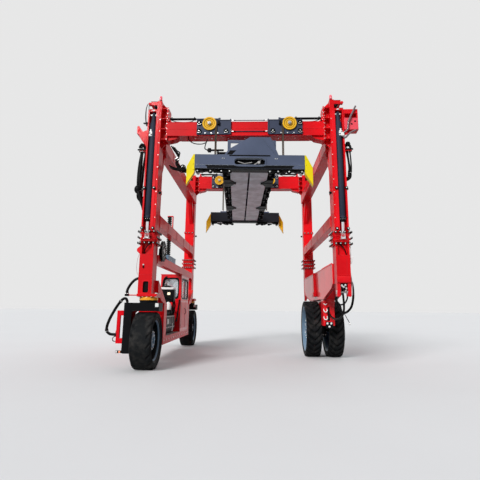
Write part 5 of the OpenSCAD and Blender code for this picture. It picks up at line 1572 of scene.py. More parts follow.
@dataclass(frozen=True)
class Tyre:
    """One kind of tyre about X: its sizes, its slanting grooves and the raised rings on its sidewalls.

    zigzag is how far a groove slants, in lugs, from the middle to the shoulder; share is the part of a lug's
    pitch that the groove takes; bare is the part of the half width, from the middle, that has no groove.
    """
    radius: float
    width: float
    bead: float
    lugs: int
    depth: float
    zigzag: float
    share: float
    bare: float
    ring_radii: tuple[float, ...]
    ring: tuple[float, float, float]

    def surface(self) -> Solid:
        """A sidewall profile carried round, its crown lowered by depth inside the grooves.

        A groove lies where lugs * turn + zigzag * (distance from the middle / half the width) ** 1.5 has a
        fraction within share / 2 of one half.

        Returns:
            The skin round the origin.
        """
        half, tall = self.width / 2, self.radius - self.bead
        wall = np.array([(0, 0.8), (0.1, 0.93), (0.3, 0.985), (0.5, 1.0), (0.72, 0.99), (0.88, 0.96),
                         (0.97, 0.92)])
        crown = np.linspace(0.86, -0.86, 21)
        across = np.concatenate([wall[:, 1], crown, -wall[::-1, 1]]) * half
        out = self.bead + tall * np.concatenate([wall[:, 0], np.ones(21), wall[::-1, 0]])
        soft = np.clip((out - (self.radius - 0.1)) / 0.08, 0, 1)
        soft *= np.clip((np.abs(across) / half - self.bare) * 14, 0, 1)
        steps = self.lugs * max(6, 200 // self.lugs)
        turn = np.arange(steps)[:, None] / steps
        phase = np.mod(self.lugs * turn + self.zigzag * (np.abs(across)[None] / half) ** 1.5, 1.0)
        groove = np.clip((self.share / 2 - np.abs(phase - 0.5)) * 12 + 0.5, 0, 1)
        r = out[None] - groove * self.depth * soft[None]
        a = 2 * math.pi * turn
        points = np.stack([np.broadcast_to(across, r.shape), r * np.cos(a), r * np.sin(a)], -1)
        return rings(points[:, ::-1], False, True)

    def build(self, name: str, body: str, place: tuple[float, float, float]) -> None:
        """Makes the tyre that stands for one CAD node.

        Args:
            name: the wheel's name.
            body: its body.
            place: its middle.
        """
        wide, flat, tall = self.ring
        ring = joined(turned([(r - wide, -0.004), (r - flat, tall), (r + flat, tall), (r + wide, -0.004)],
                             sides=72, looped=True) for r in self.ring_radii)
        side = ring.facing(Way.RIGHT).at((self.width / 2 - 0.001, 0, 0))
        form = (self.surface() + side.mirrored()).at(place)
        made = Piece(f"tyre_{name}_dressed", body).add(TYRE, form).build()
        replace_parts(made, f"tyre_{name}")


@dataclass(frozen=True)
class SteeredWheels:
    """Left wheels with their forks' fittings."""
    tyre: Tyre = Tyre(0.6, 0.45, 0.455, 17, 0.03, 0.9, 0.26, 0.56, (0.492, 0.53, 0.552),
                      (0.005, 0.002, 0.003))

    def wheel(self, name: str, body: str, y: float) -> None:
        """Tyre with shoulder notches, and a deep dished rim with a bolted disc, its barrel black as painted
        shade.

        Args:
            name: the wheel's name.
            body: its body.
            y: its middle.
        """
        x, z = -SIZES.steer_x, self.tyre.radius
        place = (x, y, z)
        self.tyre.build(name, body, place)
        r, half = self.tyre.bead, self.tyre.width / 2
        shell = both_ways([(r - 0.002, half - 0.04), (r + 0.014, half - 0.028), (r + 0.01, half - 0.016),
                           (r - 0.022, half - 0.026), (r - 0.03, half - 0.05), (r - 0.05, half - 0.09)])
        disc = [(0.0708, 0.02), (0.12, 0.02), (0.15, -0.02), (r - 0.04, -0.03), (r - 0.04, 0.05),
                (r - 0.09, 0.05), (r - 0.15, 0.02), (0.24, 0.075), (0.2, 0.12), (0.165, 0.125),
                (0.15, 0.15), (0.0708, 0.152)]
        ring = [(r - 0.05, half - 0.075), (r - 0.024, half - 0.045), (r - 0.03, half - 0.036),
                (r - 0.055, half - 0.06)]
        cap = turned([(0.069, 0.02), (0.069, 0.105), (0.06, 0.168), (0.045, 0.174)], Way.RIGHT, place, 32)
        rim = Piece(f"rim_{name}_dressed", body)
        rim.add(WHEEL, turned(disc, Way.RIGHT, place, 72, True), cap,
                turned(ring, Way.RIGHT, place, 72, True))
        # Black barrel: painted shade inside the deep rim.
        rim.add(BLACK, turned(shell, Way.RIGHT, place, 72, True))
        rim.add(ZINC, bolts(0.013, 0.022, Way.RIGHT, circle((x + 0.12, y, z), 0.183, 12, 0)),
                bolts(0.008, 0.008, Way.RIGHT, circle((x + 0.151, y, z), 0.11, 6, 0)))
        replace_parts(rim.build(), f"rim_{name}")

    def fork(self, name: str, body: str, y: float) -> None:
        """White block, arch line, guard edges, hose fitting and sensor on a fork.

        Args:
            name: front or rear.
            body: the fork's body.
            y: the fork's middle.
        """
        piece = Piece(f"fork_trim_{name}", body)
        front, guard, left = y - 0.19, y - 0.12, -2.757
        edge = (guard - 0.032, guard + 0.032)
        arch = [(-1.85, front + 0.001, 1.224), (-2.36, front + 0.001, 1.224), (-2.42, front + 0.001, 1.205),
                (-2.436, front + 0.001, 1.14), (-2.438, front + 0.001, 0.36)]
        lead = [(left, guard, 0.685), (-2.8, guard, 0.675), (-2.832, guard, 0.635), (-2.822, guard, 0.59),
                (-2.78, guard, 0.575), (left, guard, 0.575)]
        cone = turned([(0.15, -0.02), (0.16, -0.015), (0.16, 0.02), (0.12, 0.05), (0.0705, 0.06)], Way.RIGHT,
                      (-2.425, y, 0.6), 32)
        piece.add(WHITE, slab((-1.925, -1.848), (front - 0.012, front + 0.001), (1.305, 1.388), 0.006),
                  turned([(0.019, 0.0), (0.02, 0.004), (0.014, 0.012)], Way.FRONT,
                         (-2.708, front + 0.004, 0.367), 18))
        piece.add(BLACK, tube(smooth(arch, 4), 0.01, 8), cone,
                  slab((-2.6, -2.45), (y - 0.12, y + 0.12), (0.325, 0.342), 0.003),
                  prism(oval((guard, 0.72), (0.046, 0.05), 5, 20), 0, -2.766, -2.7545),
                  slab((-2.735, -2.6), (front + 0.005, front + 0.065), (0.342, 0.392), 0.008))
        piece.add(RED_CLEAN, slab((left, -2.6), edge, (1.214, 1.2275), 0.003),
                  slab((left, -2.6), edge, (0.536, 0.55), 0.003),
                  slab((-2.7565, -2.745), (guard - 0.033, guard + 0.033), (0.545, 1.22), 0.003),
                  slab((-2.772, -2.758), (guard - 0.022, guard + 0.022), (0.755, 0.8), 0.003))
        piece.add(HOSE, pipe(lead, 0.009))
        piece.add(AMBER_LAMP, slab((-2.665, -2.625), (front - 0.002, front + 0.03), (0.345, 0.389), 0.006))
        piece.build()

    def build(self) -> None:
        """Builds both wheels and forks."""
        for name, sy in (("front", -1), ("rear", 1)):
            self.wheel(f"{name}_left", f"wheel_{name}_left", sy * SIZES.mast_y)
            self.fork(name, f"steering_{name}", sy * SIZES.mast_y)


@dataclass(frozen=True)
class TwinWheels:
    """Right twin wheels, their drive between them and the posts' fittings."""
    tyre: Tyre = Tyre(0.752, 0.41, 0.596, 26, 0.05, 1.2, 0.3, 0.0, (0.64, 0.695), (0.008, 0.004, 0.002))
    post_y: float = 1.0825

    def wheel(self, side: str, x: float, s: int, way: Way) -> None:
        """Tyre with a chevron tread and a dished rim.

        Args:
            side: inner or outer.
            x: the wheel's middle.
            s: -1 where the rim looks to the left, else 1.
            way: where the rim looks.
        """
        name, body, z = f"right_{side}", f"wheel_right_{side}", self.tyre.radius
        place = (x, 0.0, z)
        self.tyre.build(name, body, place)
        r, half = self.tyre.bead, self.tyre.width / 2
        shell = [(r - 0.022, 0.026 - half), (r + 0.012, 0.014 - half), (r + 0.016, 0.03 - half),
                 (r - 0.002, 0.05 - half), (r - 0.002, half - 0.05), (r + 0.016, half - 0.03),
                 (r + 0.012, half - 0.014), (r - 0.022, half - 0.026), (r - 0.035, half - 0.05),
                 (r - 0.06, half - 0.1), (r - 0.06, 0.09 - half), (r - 0.035, 0.05 - half)]
        disc = [(0.0708, 0.02), (0.2, 0.0), (r - 0.05, 0.02), (r - 0.05, 0.07), (r - 0.12, 0.07),
                (r - 0.2, 0.02), (0.34, 0.045), (0.3, 0.11), (0.22, 0.125), (0.18, 0.095), (0.15, 0.095),
                (0.14, 0.15), (0.0708, 0.152)]
        cap = turned([(0.069, 0.01), (0.069, 0.085), (0.06, 0.165), (0.04, 0.172)], way, place, 32)
        rim = Piece(f"rim_{name}_dressed", body)
        rim.add(WHEEL, turned(shell, way, place, 72, True), turned(disc, way, place, 72, True), cap)
        rim.add(ZINC, bolts(0.016, 0.024, way, circle((x + s * 0.118, 0, z), 0.26, 14, 0)),
                bolts(0.01, 0.01, way, circle((x + s * 0.15, 0, z), 0.108, 8, 0)))
        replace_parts(rim.build(), f"rim_{name}")

    def drive(self) -> None:
        """Motor flanges, white shackles, hub block and edges of the posts between the twin tyres."""
        piece = Piece("drive_trim", "right_chassis")
        x, z = SIZES.drive_x, self.tyre.radius
        for s, way in ((1, Way.RIGHT), (-1, Way.LEFT)):
            flange = [(0.232, -0.004), (0.234, 0.001), (0.226, 0.006), (0.12, 0.008), (0.1, 0.013)]
            piece.add(BLACK, turned(flange, way, (x + s * 0.077, 0, z), 56))
            piece.add(ZINC, bolts(0.012, 0.012, way, circle((x + s * 0.081, 0, z), 0.205, 16, 0)))
        for s, way in ((-1, Way.FRONT), (1, Way.BACK)):
            y = s * self.post_y
            piece.add(BLACK, slab((2.135, 2.195), sorted((y, y + s * 0.012)), (1.0, 1.46)),
                      slab((2.075, 2.265), sorted((y, y + s * 0.045)), (0.8, 0.97), 0.012),
                      turned([(0.04, -0.002), (0.045, 0.004), (0.04, 0.02), (0.03, 0.03)], way,
                             (2.18, y, 1.15), 20))
            spots = np.array([(2.12, 0, 0.93), (2.17, 0, 0.85), (2.22, 0, 0.93)]) + (0, y + s * 0.045, 0)
            shackle = [(2.04, y, 0.055), (2.035, y + s * 0.04, 0.03), (2.05, y + s * 0.055, -0.01),
                       (2.08, y + s * 0.06, -0.025), (2.11, y + s * 0.055, -0.01),
                       (2.125, y + s * 0.04, 0.03), (2.12, y, 0.055)]
            piece.add(WHITE, bolts(0.02, 0.02, way, spots),
                      pipe(shackle, 0.013).at(*((0, 0, h) for h in (1.05, 1.24, 1.43))))
            edge = slab((0, 0.011), sorted((y - s * 0.02, y + s * 0.014)), (0.88, 1.5), 0.003)
            piece.add(RED_CLEAN, edge.at((2.022, 0, 0), (2.215, 0, 0), (2.308, 0, 0)))
        piece.add(STEEL, bolts(0.012, 0.01, Way.FRONT, row((2.08, -0.2695, 0.6), (2.2, -0.2695, 0.6), 3)))
        piece.build()

    def build(self) -> None:
        """Builds both wheels and the drive."""
        self.wheel("inner", 1.84, -1, Way.LEFT)
        self.wheel("outer", 2.44, 1, Way.RIGHT)
        self.drive()


# Chassis of both sides
@dataclass(frozen=True)
class RightChassis:
    """Trims of the right side's box."""

    def build(self) -> None:
        """Builds the lips, the toothed strip, the fin with its box and the pipes under the box."""
        piece = Piece("chassis_trim_right", "right_chassis")
        lips = slab((-0.006, 0.006), (-2.72, 2.72), (2.296, 2.316), 0.002).at((1.999, 0, 0), (2.351, 0, 0))
        tooth = prism([(-0.035, 2.308), (0.035, 2.308), (0.0, 2.338)], 0, 2.004, 2.028, 0.002)
        strip = tooth.at(row((0, 1.2, 0), (0, 2.6, 0), 18))
        strip += slab((2.002, 2.03), (1.15, 2.66), (2.302, 2.312), 0.002)
        edge = np.array([(1.998, 1.4, 1.546), (1.998, 2.57, 1.766), (1.998, 2.74, 1.852)])
        strip += tube(edge, 0.008, 6).at((0, 0, 0), (0.354, 0, 0))
        fin = prism([(-0.035, 2.3), (0.035, 2.3), (0.12, 1.8), (0.12, 1.752), (-0.12, 1.752), (-0.12, 1.8)],
                    0, 1.93, 1.9995)
        box = slab((1.905, 1.9995), (-0.2, 0.16), (1.63, 1.75), 0.01)
        piece.add(RED_CLEAN, lips, strip.mirrored(1),
                  slab((1.999, 2.0), (-1.4, 1.4), (1.54, 1.552), 0.0004), fin, box)
        piece.add(ZINC, bolts(0.012, 0.012, Way.LEFT, np.array([(1.905, -0.13, 1.69), (1.905, 0.1, 1.69)])))
        service = np.array([(0, -2.6, 1.74), (0, -1.45, 1.525), (0, -1.2, 1.527), (0, 1.2, 1.527),
                            (0, 1.45, 1.525), (0, 2.6, 1.74)])
        piece.add(BLACK, tube(service, 0.008, 8).at((2.03, 0, 0), (2.32, 0, 0)))
        piece.build()


@dataclass(frozen=True)
class LeftChassis:
    """Engine bay, cab and trims of the left side."""
    inner: float = -1.95
    outer: float = -2.57
    cab_y: tuple[float, float] = (0.23, 1.59)
    window_z: tuple[float, float] = (1.56, 2.15)
    reel: tuple[float, float, float] = (-2.01, -2.38, 2.62)
    chain_z: tuple[float, float] = (2.492, 3.899)

    def engine(self) -> None:
        """Crankcase with ribs, its pipes, filter, radiator, exhaust and the unit above it."""
        piece = Piece("engine_dressed", "left_chassis")
        self.crankcase(piece)
        self.cooling(piece)
        self.above(piece)
        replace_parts(piece.build(), "engine")

    def crankcase(self, piece: Piece) -> None:
        """Block with six ribbed heads, a small pipe and two bolts under each, and a rail along them.

        Args:
            piece: where they go.
        """
        piece.add(BLACK,
                  prism([(-2.36, 0.612), (-2.11, 0.612), (-2.06, 0.72), (-2.06, 1.02), (-2.12, 1.12),
                         (-2.35, 1.12), (-2.41, 1.02), (-2.41, 0.72)], 1, -1.5, -0.05, 0.012, 0.02))
        rib = prism([(-2.39, 1.11), (-2.08, 1.11), (-2.1, 1.22), (-2.14, 1.249), (-2.33, 1.249),
                     (-2.37, 1.22)], 1, -0.07, 0.07, 0.01, 0.01)
        branch = pipe([(-2.062, 0, 1.05), (-2.054, 0, 0.99), (-2.053, 0, 0.93), (-2.06, 0, 0.86)], 0.01)
        nuts = bolts(0.012, 0.01, Way.RIGHT, np.array([(-2.06, -0.05, 0.78), (-2.06, 0.05, 0.78)]))
        heads = row((0, -1.38, 0), (0, -0.2, 0), 6)
        piece.add(BLACK, rib.at(heads)).add(ZINC, nuts.at(heads))
        piece.add(STEEL, branch.at(heads), rod((-2.068, -1.42, 1.06), (-2.068, -0.15, 1.06), 0.018, 12))
        piece.add(WHITE, slab((-2.09, -2.052), (-1.1, -0.85), (0.86, 1.0), 0.01),
                  turned([(0.05, 0), (0.054, 0.01), (0.054, 0.2), (0.045, 0.215)],
                         place=(-2.105, -0.35, 0.66), sides=20))

    def cooling(self, piece: Piece) -> None:
        """Air filter with its duct, fan ring, and the radiator with fins, its top and upper inner side
        painted pale pink as a sunlit sheen.

        Args:
            piece: where they go.
        """
        x, z = -2.235, 1.366
        piece.add(BLACK,
                  turned([(0.09, -0.33), (0.112, -0.32), (0.112, 0.3), (0.1, 0.31), (0.1, 0.38),
                          (0.085, 0.4)], Way.BACK, (x, -0.78, z), 28),
                  turned([(0.23, 0), (0.235, 0.006), (0.235, 0.03), (0.23, 0.036)], Way.BACK,
                         (-2.25, -1.602, 0.97), 40))
        strap = turned([(0.1125, -0.012), (0.114, -0.008), (0.114, 0.008), (0.1125, 0.012)], Way.BACK,
                       sides=28)
        piece.add(STEEL, strap.at((x, -1.0, z), (x, -0.62, z)))
        piece.add(HOSE, pipe([(x, -1.1, z), (x, -1.2, 1.36), (x, -1.27, 1.3), (x, -1.29, 1.2)], 0.05, 14))
        fins = slab((-2.498, -2.002), (-1.7195, -1.717), (0.66, 0.664), 0.001)
        fins = fins.at(row((0, 0, 0), (0, 0, 0.6), 26))
        piece.add(CREAM, slab((-2.508, -1.992), (-1.718, -1.622), (0.612, 1.318), 0.01), fins,
                  slab((-1.993, -1.9905), (-1.71, -1.63), (0.66, 1.28), 0.001))
        # Pale pink top and upper inner side of the radiator: painted sheen.
        piece.add(PINK, slab((-2.515, -1.985), (-1.725, -1.615), (1.315, 1.335)),
                  slab((-1.993, -1.985), (-1.725, -1.615), (1.18, 1.32), 0.002))

    def above(self, piece: Piece) -> None:
        """Bent exhaust, the black unit with its white top, hat and lamp, the white dome and the belt.

        Args:
            piece: where they go.
        """
        exhaust = [(-2.2, 0.15, 0.612), (-2.2, 0.15, 1.0), (-2.22, 0.145, 1.28), (-2.34, 0.14, 1.46),
                   (-2.45, 0.14, 1.62), (-2.475, 0.14, 1.8), (-2.47, 0.14, 1.98), (-2.45, 0.14, 2.1),
                   (-2.4, 0.135, 2.16), (-2.37, 0.13, 2.165)]
        bend = [(-2.1, -0.15, 1.16), (-2.09, -0.06, 1.2), (-2.12, 0.04, 1.21), (-2.17, 0.12, 1.22),
                (-2.195, 0.165, 1.24)]
        drain = [(-2.0, -0.6, 1.5), (-1.985, -0.5, 1.35), (-2.03, -0.4, 1.2), (-2.05, -0.35, 1.1)]
        hat = turned([(0.15, 1.8), (0.14, 1.84), (0.09, 1.885), (0.02, 1.9)], place=(-2.22, -0.55, 0),
                     sides=28)
        piece.add(BLACK, pipe(exhaust, 0.036, 18), pipe(bend, 0.035, 14), pipe(drain, 0.022, 10), hat,
                  slab((-2.36, -1.985), (-0.74, -0.46), (1.44, 1.8), 0.02),
                  slab((-2.34, -2.3), (-0.72, -0.68), (1.2, 1.46)),
                  slab((-2.06, -2.02), (-0.5, -0.46), (1.2, 1.46)),
                  rod((-2.3, -0.75, 1.62), (-2.02, -0.75, 1.5), 0.02, 10))
        dome = turned([(0.078, 1.24), (0.082, 1.28), (0.082, 1.33), (0.066, 1.4), (0.02, 1.44)],
                      place=(-2.045, -1.15, 0), sides=28)
        piece.add(WHITE, slab((-2.35, -1.99), (-0.77, -0.45), (1.775, 1.835), 0.012), dome)
        piece.add(LAMP_WHITE, slab((-2.16, -2.08), (-0.765, -0.735), (1.63, 1.7), 0.01))
        belt = [(-1.985, 0.19, 1.52), (-1.99, 0.14, 1.36), (-1.995, 0.07, 1.2), (-2.0, 0.0, 1.05),
                (-2.02, -0.04, 0.9)]
        piece.add(HOSE, pipe(belt, 0.024, 12))

    def shell(self) -> None:
        """Louvre blades with painted shade behind them, bottom beam lips, housing edges and parts under the
        beam.
        """
        piece = Piece("chassis_trim_left", "left_chassis")
        drops = row((0, 0, 0), (0, 0, -0.351), 4)
        blade = prism([(-2.071, 1.072), (-2.077, 1.078), (-2.052, 1.126), (-2.046, 1.124)], 0, -2.078,
                      -1.992, 0.001)
        # Black sheets behind the blades: painted shade in the louvre gaps.
        piece.add(BLACK, slab((-2.079, -1.991), (-2.044, -2.0405), (1.071, 1.129), 0.001).at(drops))
        lips = slab((-1.958, -1.944), (-2.06, 1.85), (0.432, 0.448), 0.002).at((0, 0, 0), (0, 0, 0.16))
        piece.add(RED_CLEAN, blade.at(drops), lips,
                  slab((-1.972, -1.952), (-2.077, -2.069), (0.46, 1.37), 0.002),
                  *(slab((-2.565, -1.955), (-2.077, -2.069), span, 0.002)
                    for span in ((1.375, 1.398), (0.435, 0.455))))
        piece.add(BLACK, *(slab((-2.45, -2.05), span, (0.4, 0.432), 0.01)
                           for span in ((-1.75, -1.25), (-0.75, -0.05), (0.7, 1.3))))
        piece.add(ZINC, bolts(0.012, 0.01, Way.RIGHT, row((-1.95, -1.95, 0.52), (-1.95, 1.75, 0.52), 13)))
        piece.add(STEEL, slab((-2.56, -1.97), (-1.6, 0.2), (0.6095, 0.613), 0.001))
        piece.build()

    def cab(self) -> None:
        """Window gaskets, sill and roof lips, door seams, handle, seat, console and wiper."""
        piece = Piece("cab_trim", "left_chassis")
        left, right, (front, back), (sill, head) = self.outer, self.inner, self.cab_y, self.window_z
        cx, cy, mid = (left + right) / 2, (front + back) / 2, (sill + head) / 2
        half, long = (head - sill) / 2, (back - front) / 2 - 0.09
        for start, end in ((front - 0.004, front + 0.012), (back - 0.012, back + 0.004)):
            piece.add(BLACK, frame_plate(oval((cx, mid), (0.238, half + 0.018), 7, 48),
                                         oval((cx, mid), (0.208, half - 0.02), 5, 48), 1, start, end))
        for start, end in ((right - 0.012, right + 0.004), (left - 0.004, left + 0.012)):
            piece.add(BLACK, frame_plate(oval((cy, mid), (long + 0.018, half + 0.018), 9, 48),
                                         oval((cy, mid), (long - 0.015, half - 0.02), 7, 48), 0, start, end),
                      slab((start, end), (cy - 0.02, cy + 0.02), (sill, head), 0.003))
        piece.add(RED_CLEAN, slab((left - 0.012, right + 0.012), (front - 0.012, back + 0.012),
                                  (2.245, 2.268)),
                  slab((left - 0.004, right + 0.004), (front - 0.004, back + 0.004), (1.5, 1.53), 0.003),
                  slab((left + 0.06, right - 0.06), (front - 0.01, front), (0.68, 1.44)),
                  slab((right, right + 0.006), (0.34, 0.94), (0.7, 1.45), 0.003),
                  slab((right, right + 0.006), (1.02, 1.5), (0.7, 1.45), 0.003))
        handle = [(right + 0.006, 0.88, 1.1), (right + 0.04, 0.88, 1.12), (right + 0.04, 0.88, 1.24),
                  (right + 0.006, 0.88, 1.26)]
        seat = [slab((-2.4, -2.12), (0.95, 1.25), (1.0, 1.1), 0.02),
                slab((-2.4, -2.12), (1.22, 1.3), (1.05, 1.72), 0.02),
                slab((-2.34, -2.18), (0.98, 1.22), (0.65, 1.0), 0.01)]
        rim = circle((0, 0, 0), 0.13, 24, 2)
        steering = tube(np.vstack([rim, rim[:1]]), 0.012, 8).spun(0, 48).at((-2.24, 0.7, 1.63))
        wiper = rod((-2.3, 0.216, 1.58), (-2.4, 0.216, 1.98), 0.007, 8)
        wiper += slab((-2.33, -2.27), (0.205, 0.235), (1.55, 1.6), 0.005)
        piece.add(BLACK, pipe(handle, 0.008), *seat, slab((-2.42, -2.06), (0.34, 0.6), (0.66, 1.52), 0.02),
                  steering, wiper)
        piece.add(STEEL, rod((-2.24, 0.55, 1.45), (-2.24, 0.7, 1.62), 0.014, 10))
        piece.build()

    def tie(self) -> None:
        """Lips of the tie beam, the box with a lid on it and its hose."""
        piece = Piece("tie_beam_trim", "left_chassis")
        lip = slab((-0.006, 0.006), (-2.74, 2.74), (2.474, 2.492), 0.002)
        piece.add(RED_CLEAN, lip.at((-2.168, 0, 0), (-2.012, 0, 0)))
        piece.add(WHEEL, slab((-2.156, -2.014), (-1.51, -0.54), (2.485, 2.634), 0.01),
                  slab((-2.158, -2.01), (-1.515, -0.535), (2.6, 2.638), 0.006))
        piece.add(ZINC, bolts(0.009, 0.008, Way.RIGHT, row((-2.011, -1.4, 2.54), (-2.011, -0.65, 2.54), 4)))
        hose = [(-2.085, -1.512, 2.56), (-2.085, -1.58, 2.565), (-2.07, -1.66, 2.54), (-2.05, -1.7, 2.5),
                (-2.05, -1.72, 2.47)]
        piece.add(HOSE, pipe(hose, 0.016, 10))
        piece.build()

    def cable_reel(self) -> None:
        """Two flanges, three turns of cable, hub, nuts, shaft and foot."""
        x, y, z = self.reel
        flange = turned([(0.03, 0.005), (0.245, 0.005), (0.25, 0.009), (0.25, 0.013), (0.245, 0.017),
                         (0.2, 0.017), (0.19, 0.013), (0.03, 0.013)], Way.RIGHT, self.reel, 56, True)
        cable = turned([(0.195, 0.018), (0.2, 0.023), (0.195, 0.028), (0.03, 0.028), (0.03, 0.018)],
                       Way.RIGHT, self.reel, 48, True)
        piece = Piece("cable_reel_dressed", "left_chassis").add(BLACK, flange.at((0, 0, 0), (0.043, 0, 0)))
        piece.add(HOSE, cable.at(row((0, 0, 0), (0.02, 0, 0), 3)))
        piece.add(WHITE, turned([(0.06, 0.0), (0.066, 0.004), (0.06, 0.014), (0.03, 0.02)], Way.RIGHT,
                                (x + 0.054, y, z), 28))
        piece.add(ZINC, bolts(0.01, 0.008, Way.RIGHT, circle((x + 0.061, y, z), 0.15, 8, 0)))
        piece.add(BLACK, rod((x - 0.058, y, z), (x + 0.06, y, z), 0.039, 20),
                  slab((x - 0.06, x - 0.03), (y - 0.06, y + 0.06), (2.49, 2.68), 0.006))
        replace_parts(piece.build(), "cable_reel")

    def energy_chain(self) -> None:
        """Links with side plates and bars round a core, between tie beam and upper frame."""
        low, high = self.chain_z
        count = 26
        pitch = (high - low) / count
        link = slab((-2.322, -2.304), (-0.43, -0.35), (0.004, pitch - 0.01), 0.006)
        link += slab((-2.226, -2.208), (-0.43, -0.35), (0.004, pitch - 0.01), 0.006)
        link += slab((-2.306, -2.224), (-0.428, -0.418), (0.012, pitch - 0.02), 0.003)
        link += slab((-2.306, -2.224), (-0.362, -0.352), (0.012, pitch - 0.02), 0.003)
        piece = Piece("energy_chain_links", "left_chassis")
        piece.add(BLACK, link.at(row((0, 0, low), (0, 0, high - pitch), count)))
        made = piece.add(HOSE, slab((-2.3, -2.23), (-0.41, -0.37), (low, high))).build(ride=False)
        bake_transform(made)
        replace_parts(made, "energy_chain")

    def build(self) -> None:
        """Builds all pieces of the left side."""
        self.engine()
        self.shell()
        self.cab()
        self.tie()
        self.cable_reel()
        self.energy_chain()


